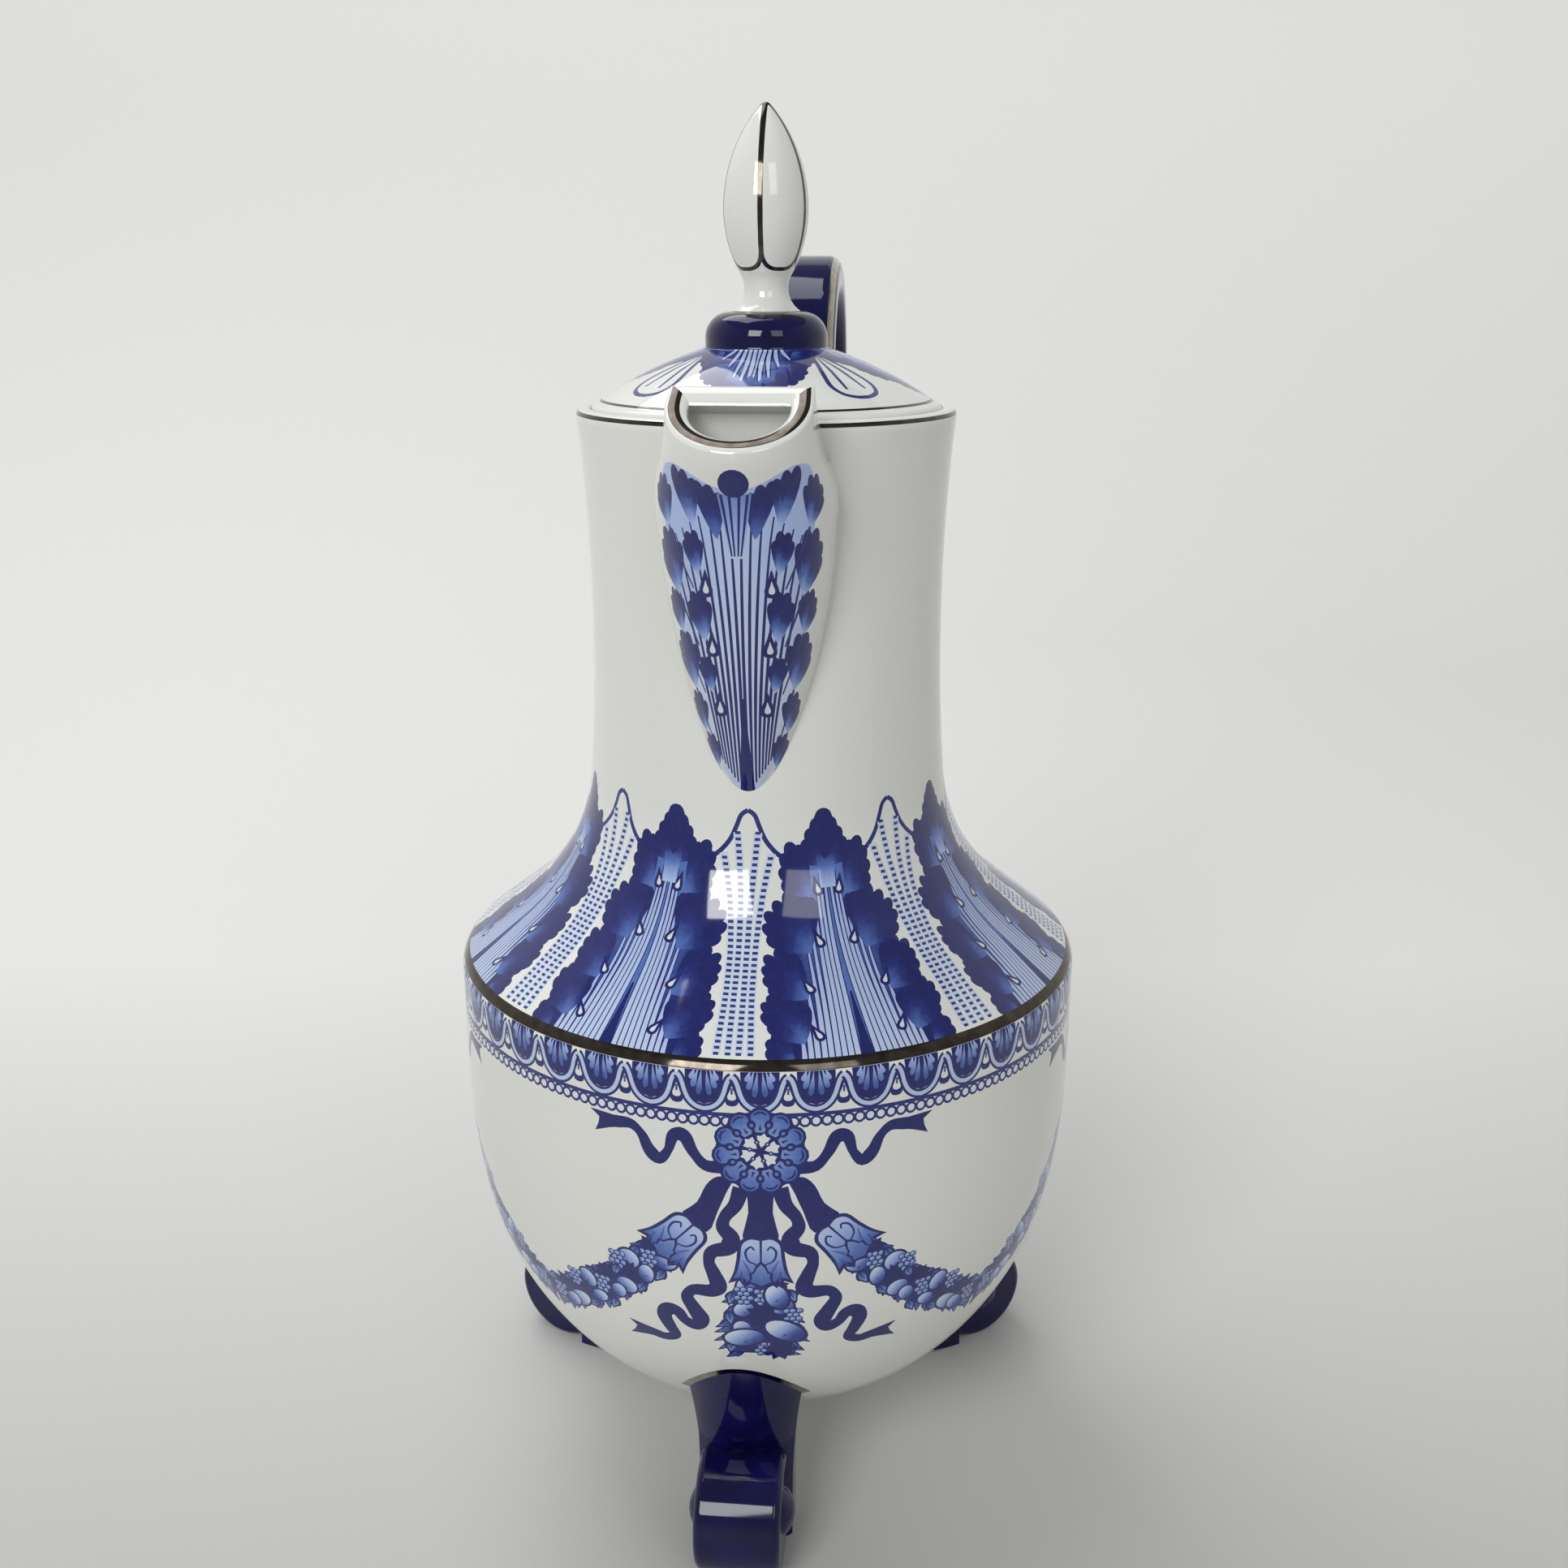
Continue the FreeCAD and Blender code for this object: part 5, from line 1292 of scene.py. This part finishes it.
# How strongly the wall glows before and behind the pot, and how far each way the floor's paper is graded with
# painted shade, darker towards the camera.
WALL_GLOW, GRADED = (0.18, 0.52), 0.25
FLOOR_SHADE_STOPS = ((0.0, (0.36, 0.36, 0.345)), (0.5, (0.62, 0.62, 0.605)), (1.0, (0.84, 0.84, 0.825)))
WALL_STOPS = ((0.0, (1, 1, 1)), (1.0, (0.3, 0.3, 0.3)))


def paper():
    """Paper with painted shade and a painted glow: the floor darkens before the pot, towards the camera, with
    painted shade; up the tent's wall it takes less light and glows instead.
    """
    material, shader = principled("paper", 0.75)
    material.cycles.emission_sampling = "NONE"
    parts = node(material, "ShaderNodeSeparateXYZ")
    link(material, own_place(material), parts.inputs["Vector"])
    behind, height = parts.outputs["Y"], parts.outputs["Z"]
    up = span(material, height, 0.0, TENT_BEND, 0.0, 1.0)
    glow = product(material, span(material, behind, -TENT, TENT, *WALL_GLOW), up)
    shader.inputs["Emission Color"].default_value = (1.0, 1.0, 0.99, 1)
    link(material, glow, shader.inputs["Emission Strength"])
    shade = node(material, "ShaderNodeMixRGB", Fac=1.0)
    shade.blend_type = "MULTIPLY"
    # Painted shade: the floor's colour darkens towards the camera, before the pot.
    floor_shade = ramp(material, span(material, behind, -GRADED, GRADED, 0.0, 1.0), FLOOR_SHADE_STOPS)
    link(material, floor_shade, shade.inputs["Color1"])
    link(material, ramp(material, up, WALL_STOPS), shade.inputs["Color2"])
    link(material, shade.outputs["Color"], shader.inputs["Base Color"])
    return material


def make_stage(material):
    """A pale round floor that sweeps up into a wall all about the pot."""
    flat = TENT - TENT_BEND
    rows = [(0.02, 0.0), (0.4 * TENT, 0.0), (flat, 0.0)]
    for turn in math.pi / 2 * np.arange(1, BEND_ROWS + 1) / BEND_ROWS:
        rows.append((flat + TENT_BEND * math.sin(turn), TENT_BEND * (1 - math.cos(turn))))
    rows.append((TENT, TENT_TOP))
    points = []
    for radius, height in rows:
        for angle in 2 * math.pi * np.arange(TENT_COLUMNS) / TENT_COLUMNS:
            points.append((radius * math.cos(angle), radius * math.sin(angle), height))
    net = np.arange(len(points)).reshape(len(rows), -1)
    net = np.concatenate([net, net[:, :1]], 1)
    faces = [tuple(range(TENT_COLUMNS)), *cells(net[:, ::-1]).tolist()]
    tent = smooth_mesh("tent", points, faces, material)
    tent.rotation_euler.z = CAMERA_SWING


def area_light(name, spot, aim, size, power):
    """A rectangular light that looks at a place."""
    data = bpy.data.lights.new(name, "AREA")
    data.shape = "RECTANGLE"
    data.size, data.size_y = size
    data.energy = power
    light = bpy.data.objects.new(name, data)
    light.location = spot
    light.rotation_euler = (Vector(aim) - Vector(spot)).to_track_quat("-Z", "Y").to_euler()
    bpy.context.scene.collection.objects.link(light)


# The height that the panes' rise is measured from.
RISE_FROM = 0.12


def from_camera(turn, rise, distance):
    """A place by its turn from the camera's side of the stage, its rise and its distance."""
    azimuth = CAMERA_SWING + math.radians(turn)
    flat = distance * math.cos(math.radians(rise))
    height = distance * math.sin(math.radians(rise)) + RISE_FROM
    return flat * math.sin(azimuth), -flat * math.cos(azimuth), height


def make_lights():
    """Two window panes behind the camera, a soft light over the floor behind the pot, and a dim room."""
    middle = (0, 0, 0.13)
    area_light("left_pane", from_camera(-22, 30, 1.2), middle, (0.45, 0.49), 6.2)
    area_light("right_pane", from_camera(21, 30, 1.2), middle, (0.40, 0.49), 1.4)
    area_light("ceiling", (-0.4, 0.45, 1.2), (-0.1, 0.6, 0.0), (1.2, 0.6), 7)
    world = bpy.data.worlds.new("room")
    world.use_nodes = True
    background = world.node_tree.nodes["Background"]
    background.inputs["Color"].default_value = (0.86, 0.88, 0.90, 1)
    background.inputs["Strength"].default_value = 0.25
    bpy.context.scene.world = world
    bpy.context.scene.view_settings.view_transform = "Standard"


# Platinum with a painted reflection: its colour is darkened to stand for the dark room that it reflects on
# the rims, lip, shoulder, lid and finial, and a lighter copy on the handle's and feet's lines paints the
# reflection of the pale floor.
platinum_painted_dark_reflection = platinum("platinum_painted_dark_reflection", (0.06, 0.05, 0.04), (0.11, 0.095, 0.08))
platinum_painted_floor_reflection = platinum("platinum_painted_floor_reflection", (0.40, 0.36, 0.30), (0.54, 0.50, 0.44))
finishes = [printed_glaze(), platinum_painted_dark_reflection, cobalt_glaze()]
for name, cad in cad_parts.items():
    cad.data.materials.clear()
    cad.data.materials.append(finishes[2] if name.startswith(("foot", "handle")) else finishes[0])

MAKERS = (
    (make_body, "body", "pot"), (make_spout, "spout", "pot"),
    (make_lid, "lid", "lid"), (make_finial, "finial", "lid"))
for maker, cad, body in MAKERS:
    piece = maker(finishes)
    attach(piece, body)
    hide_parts(cad)

lines = handle_lines(platinum_painted_floor_reflection)
for name, azimuth in (("front", -90.0), ("rear_left", 155.0), ("rear_right", 35.0)):
    lines.append(foot_line(f"foot_line_{name}", azimuth, platinum_painted_floor_reflection))
for line in lines:
    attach(line, "pot")

make_camera()
make_stage(paper())
make_lights()
